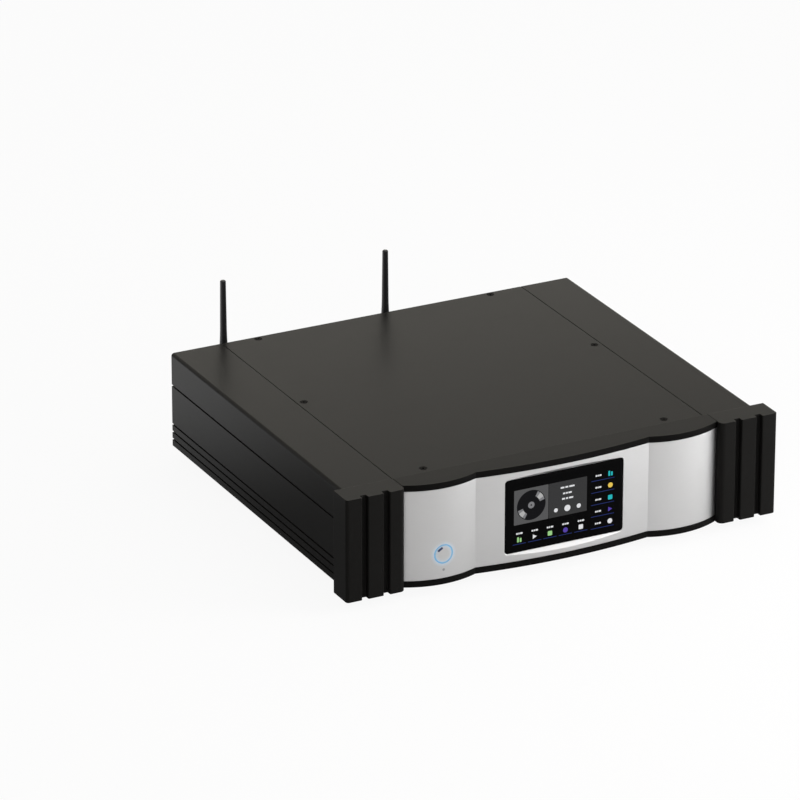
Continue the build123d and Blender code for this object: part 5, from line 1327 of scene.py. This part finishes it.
class STREAMER_OT_mains(bpy.types.Operator):
    """Softens the mains inlet and its rocker switch and marks the switch"""

    bl_idname = "streamer.mains"
    bl_label = "Mains inlet and switch"

    def execute(self, context):
        softened_node("mains_inlet", "inlet_soft", "dark_plastic", 0.3 * MM)
        softened_node("inlet_blades", "blades_soft", "zinc_steel", 0.25 * MM)
        softened_node("rocker_frame", "switch_frame", "dark_plastic", 0.3 * MM)
        rocker = soft_copy("mains_rocker", "switch_rocker", 0.25 * MM)
        marks = self.marks(rocker)
        dressed(rocker, "mains_rocker", "dark_plastic", "mains_rocker")
        dressed(marks, "mains_rocker", "dark_plastic")
        return {"FINISHED"}

    def marks(self, rocker):
        """A bar on the rocker's upper face for on, and a ring on its lower one for off."""
        outer = [face for face in rocker.data.polygons if face.normal.y > 0.3]
        faces = sorted(outer, key=lambda face: face.area)
        lower, upper = sorted(faces[-2:], key=lambda face: face.center.z)
        rim, bore, half, sunk, proud = 1.9, 1.3, 0.35, 0.02, 0.06
        ring = self.on_face(lower, circle(rim, 32), sunk, proud)
        combined(ring, self.on_face(lower, circle(bore, 32), 0.5, 0.5), "DIFFERENCE")
        bar = self.on_face(upper, [(-half, -rim), (half, -rim), (half, rim), (-half, rim)], sunk, proud)
        paint = grained("mark_paint", (0.58, 0.58, 0.56), rough=(0.4, 0.5), scale=1500.0,
                        depth=0.004 * MM, drift=0.15)
        for mark in (ring, bar):
            mark.data.materials.append(paint)
        return joined("rocker_marks", [ring, bar])

    def on_face(self, face, spots, sunk, proud):
        """A thin block on a sloping face, from spots in mm across and up from the face's middle."""
        out = face.normal.copy()
        across, up = Vector((-1, 0, 0)), Vector((0, -out.z, out.y))
        start = face.center - out * sunk * MM
        piece = drawn("mark", [start + (across * x + up * z) * MM for x, z in spots])
        return thickened(piece, out * (sunk + proud) * MM)


class STREAMER_OT_antennas(bpy.types.Operator):
    """Models the two antennas: whip, hinged base, pin, jack and nut"""

    bl_idname = "streamer.antennas"
    bl_label = "Antennas"

    def execute(self, context):
        left_whip = self.whip("left")
        apart = middle("right_antenna_pin") - middle("left_antenna_pin")
        right_whip = copied(left_whip, "right_whip", apart)
        for side, whip in (("left", left_whip), ("right", right_whip)):
            node = side + "_antenna_whip"
            dressed(whip, node, "matte_black_plastic", node)
            base = side + "_antenna_base"
            softened_node(base, side + "_base_soft", "matte_black_plastic", 0.25 * MM, 3, body=base)
            softened_node(side + "_antenna_pin", side + "_pin_soft", "zinc_steel", 0.2 * MM, body=base)
        softened_node("antenna_jacks", "jacks_soft", "gold_plate", 0.15 * MM)
        softened_node("jack_nuts", "nuts_soft", "gold_plate", 0.2 * MM)
        return {"FINISHED"}

    def whip(self, side):
        """One slim whip that swells to its foot, on a rounded hinge tongue."""
        tip = high(side + "_antenna_whip").z
        pin = middle(side + "_antenna_pin")
        rise = tip - pin.z
        foot, waist, end = 4.4 * MM, 3.1 * MM, 2.7 * MM
        start, shoulder, neck = 5.8 * MM, 11.8 * MM, 44 * MM
        profile = [(0, start), (foot - 0.5 * MM, start), (foot - 0.15 * MM, start + 0.15 * MM),
                   (foot, start + 0.5 * MM), (foot, shoulder - 0.5 * MM)]
        for index in range(1, 13):
            share = index / 12
            profile.append((waist + (foot - waist) * (1 - share) ** 2.2,
                            shoulder + (neck - shoulder) * share))
        crown = 1.2 * MM
        profile += [(end + 0.1 * MM, rise - 12 * MM), (end, rise - crown)]
        for index in range(1, 7):
            turn = math.radians(90 * index / 6)
            profile.append((end - crown + crown * math.cos(turn), rise - crown + crown * math.sin(turn)))
        profile.append((0, rise))
        whip = turned(side + "_whip", profile, pin, steps=56)
        return joined(side + "_whip", [whip, self.tongue(pin, start)])

    def tongue(self, pin, start):
        """The flat hinge tongue below a whip, round about its pin."""
        half, radius, width = 1.7 * MM, 4.6 * MM, 3.4 * MM
        eye = self.eye(pin, half, radius)
        neck = block("neck", (pin.x - half, pin.y - width, pin.z),
                     (pin.x + half, pin.y + width, pin.z + start + 0.3 * MM))
        combined(eye, neck, "UNION")
        combined(eye, self.eye(pin, 4 * half, 1.25 * MM), "DIFFERENCE")
        return softened(closed(eye), 0.25 * MM, 2, angle=50)

    def eye(self, pin, half, radius):
        """A round plate across the pin."""
        places = [(pin.x - half, pin.y + y, pin.z + z) for y, z in circle(radius, 40)]
        return thickened(drawn("eye", places), (2 * half, 0, 0))


class STREAMER_OT_inside(bpy.types.Operator):
    """Gives the parts that keep their CAD shape their finishes"""

    bl_idname = "streamer.inside"
    bl_label = "Inner parts"

    def execute(self, context):
        slots = {part["node"]: part["material_slot"] for part in frame["record"]["subparts"]}
        for name, node in NODES.items():
            node.data.materials.clear()
            node.data.materials.append(finish(slots[name]))
        return {"FINISHED"}


# The studio

CAMERA_PLACE = Vector((-2.36430, -4.51328, 2.25175))
CAMERA_TARGET = Vector((-0.086876, -0.0495, 0.121041))
CAMERA_ROLL, CAMERA_LENS, CAMERA_SENSOR = math.radians(0.075), 274.99, 36.0
PLAIN_WHITE, WARM_WHITE = (1, 1, 1), (1.0, 0.96, 0.87)


class STREAMER_OT_stage(bpy.types.Operator):
    """Sets out the floor, the lamps, the surroundings and the camera"""

    bl_idname = "streamer.stage"
    bl_label = "Stage"

    def execute(self, context):
        self.floor()
        self.surroundings(context.scene)
        self.card("back_card", size=(2.6, 1.3), turn=90, place=(0.5, 1.0, 0.8), colour=WARM_WHITE,
                  axis="Z", levels=((0.24, 0.7), (0.45, 4.2), (0.62, 0.7), (0.70, 0.9)))
        self.card("left_card", size=(0.5, 1.2), turn=0, place=(-0.47, 0.35, 0.5 * MM), colour=PLAIN_WHITE,
                  axis="Y", levels=((0.0, 0.3), (0.4, 2.3)))
        self.card("front_flag", size=(0.9, 0.4), turn=90, place=(0.1, -0.21, 0.32), colour=PLAIN_WHITE,
                  axis="Z", levels=((0.1, 0.5), (0.5, 0.7)), shades=True)
        self.lamp("key_lamp", place=(0.9, -0.5, 2.4), target=(0, 0, 0.05), size=2.6, power=18.0,
                  colour=(1.0, 0.985, 0.96))
        self.lamp("side_lamp", place=(0.9, -0.8, 0.45), target=(0, -0.15, 0.06), size=0.6, power=10.6,
                  colour=PLAIN_WHITE)
        self.camera(context.scene)
        context.scene.view_settings.view_transform = "Standard"
        return {"FINISHED"}

    def white_share(self, tree, straight, mirrored):
        """How much plain white is seen straight on and through glass, and how much of it in a sheen."""
        path = add_node(tree, "ShaderNodeLightPath").outputs
        seen = maths(tree, "MAXIMUM", path["Is Camera Ray"], path["Is Transmission Ray"])
        sheen = maths(tree, "MULTIPLY", path["Is Glossy Ray"], mirrored)
        return maths(tree, "MAXIMUM", maths(tree, "MULTIPLY", seen, straight), sheen)

    def mixed(self, tree, share, first, second):
        """A mix of two shaders."""
        return add_node(tree, "ShaderNodeMixShader", {0: share, 1: first.outputs[0], 2: second.outputs[0]})

    def floor(self):
        """A wide pale floor that shows white, keeps the shadow and is clear from below."""
        ground = plane("floor", 60, (0, 0, -0.1 * MM))
        made = bpy.data.materials.new("floor_paper")
        tree = blank_tree(made)
        paper = drifting(tree, (0.86, 0.86, 0.86, 1), scale=4.0, drift=0.02)
        matt = add_node(tree, "ShaderNodeBsdfDiffuse", {"Color": paper})
        white = add_node(tree, "ShaderNodeEmission", {"Color": (1, 1, 1, 1), "Strength": 1.0})
        # Painted reflection: seen in a sheen, the floor shows more plain white towards the back than its
        # lit paper gives
        behind = ranged(tree, part_of(tree, object_place(tree), "Y"), start=-0.1, end=0.35)
        top = self.mixed(tree, self.white_share(tree, straight=0.92, mirrored=behind), matt, white)
        clear = add_node(tree, "ShaderNodeBsdfTransparent")
        below = add_node(tree, "ShaderNodeNewGeometry").outputs["Backfacing"]
        sided = self.mixed(tree, below, top, clear)
        add_node(tree, "ShaderNodeOutputMaterial", {"Surface": sided.outputs[0]})
        ground.data.materials.append(made)

    def surroundings(self, scene):
        """A pale room, white to the camera, that dims towards its ceiling."""
        room = bpy.data.worlds.new("room")
        tree = blank_tree(room)
        place = add_node(tree, "ShaderNodeTexCoord").outputs["Generated"]
        tone = add_node(tree, "ShaderNodeValToRGB", {"Fac": part_of(tree, place, "Z")})
        stops = tone.color_ramp.elements
        stops[0].position, stops[0].color = 0.2, (0.95, 0.94, 0.92, 1)
        stops[1].position, stops[1].color = 0.9, (0.45, 0.44, 0.43, 1)
        level = ranged(tree, part_of(tree, place, "X"), start=-1.0, end=1.0, first=0.6, last=1.15)
        lit = add_node(tree, "ShaderNodeBackground", {"Color": tone.outputs["Color"], "Strength": level})
        shown = add_node(tree, "ShaderNodeBackground", {"Color": (1, 1, 1, 1), "Strength": 1.0})
        mixed = self.mixed(tree, self.white_share(tree, straight=1.0, mirrored=0.35), lit, shown)
        add_node(tree, "ShaderNodeOutputWorld", {"Surface": mixed.outputs[0]})
        scene.world = room

    def card(self, name, size, turn, place, colour, axis, levels, shades=False):
        """A glowing card whose level changes along an axis. It shows only in a sheen, and may shade."""
        card = plane(name, 1)
        with editing(card, whole=True):
            bpy.ops.transform.resize(value=(*size, 1), center_override=(0, 0, 0))
            bpy.ops.transform.rotate(value=math.radians(turn), orient_axis="X", center_override=(0, 0, 0))
            bpy.ops.transform.translate(value=place)
        made = bpy.data.materials.new(name + "_paper")
        tree = blank_tree(made)
        brightest = max(level for spot, level in levels)
        tone = add_node(tree, "ShaderNodeValToRGB", {"Fac": part_of(tree, object_place(tree), axis)})
        tone.color_ramp.interpolation = "EASE"
        for spot, level in levels[1:-1]:
            tone.color_ramp.elements.new(spot)
        for stop, (spot, level) in zip(tone.color_ramp.elements, levels):
            stop.position = spot
            stop.color = (*(part * level / brightest for part in colour), 1)
        glow = add_node(tree, "ShaderNodeEmission", {"Color": tone.outputs["Color"], "Strength": brightest})
        add_node(tree, "ShaderNodeOutputMaterial", {"Surface": glow.outputs[0]})
        card.data.materials.append(made)
        card.visible_camera = False
        card.visible_diffuse = False
        card.visible_shadow = shades

    def lamp(self, name, place, target, size, power, colour):
        """A square soft box aimed at a place."""
        bpy.ops.object.select_all(action="DESELECT")
        bpy.ops.object.light_add(type="AREA", location=place)
        box = bpy.context.object
        box.name = name
        box.rotation_euler = (Vector(target) - Vector(place)).to_track_quat("-Z", "Y").to_euler()
        box.data.size = size
        box.data.energy = power
        box.data.color = colour
        box.visible_camera = False

    def camera(self, scene):
        """A long lens from the front left, a little above."""
        bpy.ops.object.select_all(action="DESELECT")
        bpy.ops.object.camera_add(location=CAMERA_PLACE)
        view = bpy.context.object
        view.name = "camera"
        aim = (CAMERA_TARGET - CAMERA_PLACE).to_track_quat("-Z", "Y")
        view.rotation_euler = (aim @ Quaternion((0, 0, 1), CAMERA_ROLL)).to_euler()
        view.data.sensor_width = CAMERA_SENSOR
        view.data.lens = CAMERA_LENS
        view.data.clip_end = 200.0
        scene.camera = view


class STREAMER_PT_panel(bpy.types.Panel):
    """Lists the pieces, their sizes and their colours."""

    bl_idname = "STREAMER_PT_panel"
    bl_label = "Network streamer"
    bl_space_type = "VIEW_3D"
    bl_region_type = "UI"
    bl_category = "Streamer"

    def draw(self, context):
        layout = self.layout
        for operator in OPERATORS:
            layout.operator(operator.bl_idname)
        for group in (front_sizes(), case_sizes(), finishes()):
            for name in group.__annotations__:
                layout.prop(group, name)


OPERATORS = (
    STREAMER_OT_inside, STREAMER_OT_cheeks, STREAMER_OT_fascia, STREAMER_OT_silver, STREAMER_OT_display,
    STREAMER_OT_button, STREAMER_OT_sides, STREAMER_OT_cover, STREAMER_OT_sheets, STREAMER_OT_feet,
    STREAMER_OT_sockets, STREAMER_OT_mains, STREAMER_OT_antennas, STREAMER_OT_stage,
)
CLASSES = (FrontSizes, CaseSizes, Finishes, *OPERATORS, STREAMER_PT_panel)


def register():
    for made in CLASSES:
        bpy.utils.register_class(made)
    bpy.types.Scene.streamer_front = PointerProperty(type=FrontSizes)
    bpy.types.Scene.streamer_case = PointerProperty(type=CaseSizes)
    bpy.types.Scene.streamer_finishes = PointerProperty(type=Finishes)


def unregister():
    del bpy.types.Scene.streamer_finishes
    del bpy.types.Scene.streamer_case
    del bpy.types.Scene.streamer_front
    for made in reversed(CLASSES):
        bpy.utils.unregister_class(made)


def main():
    """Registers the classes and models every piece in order."""
    register()
    bpy.ops.streamer.inside()
    bpy.ops.streamer.cheeks()
    bpy.ops.streamer.fascia()
    bpy.ops.streamer.silver()
    bpy.ops.streamer.display()
    bpy.ops.streamer.button()
    bpy.ops.streamer.sides()
    bpy.ops.streamer.cover()
    bpy.ops.streamer.sheets()
    bpy.ops.streamer.feet()
    bpy.ops.streamer.sockets()
    bpy.ops.streamer.mains()
    bpy.ops.streamer.antennas()
    bpy.ops.streamer.stage()


if __name__ == "__main__":
    main()
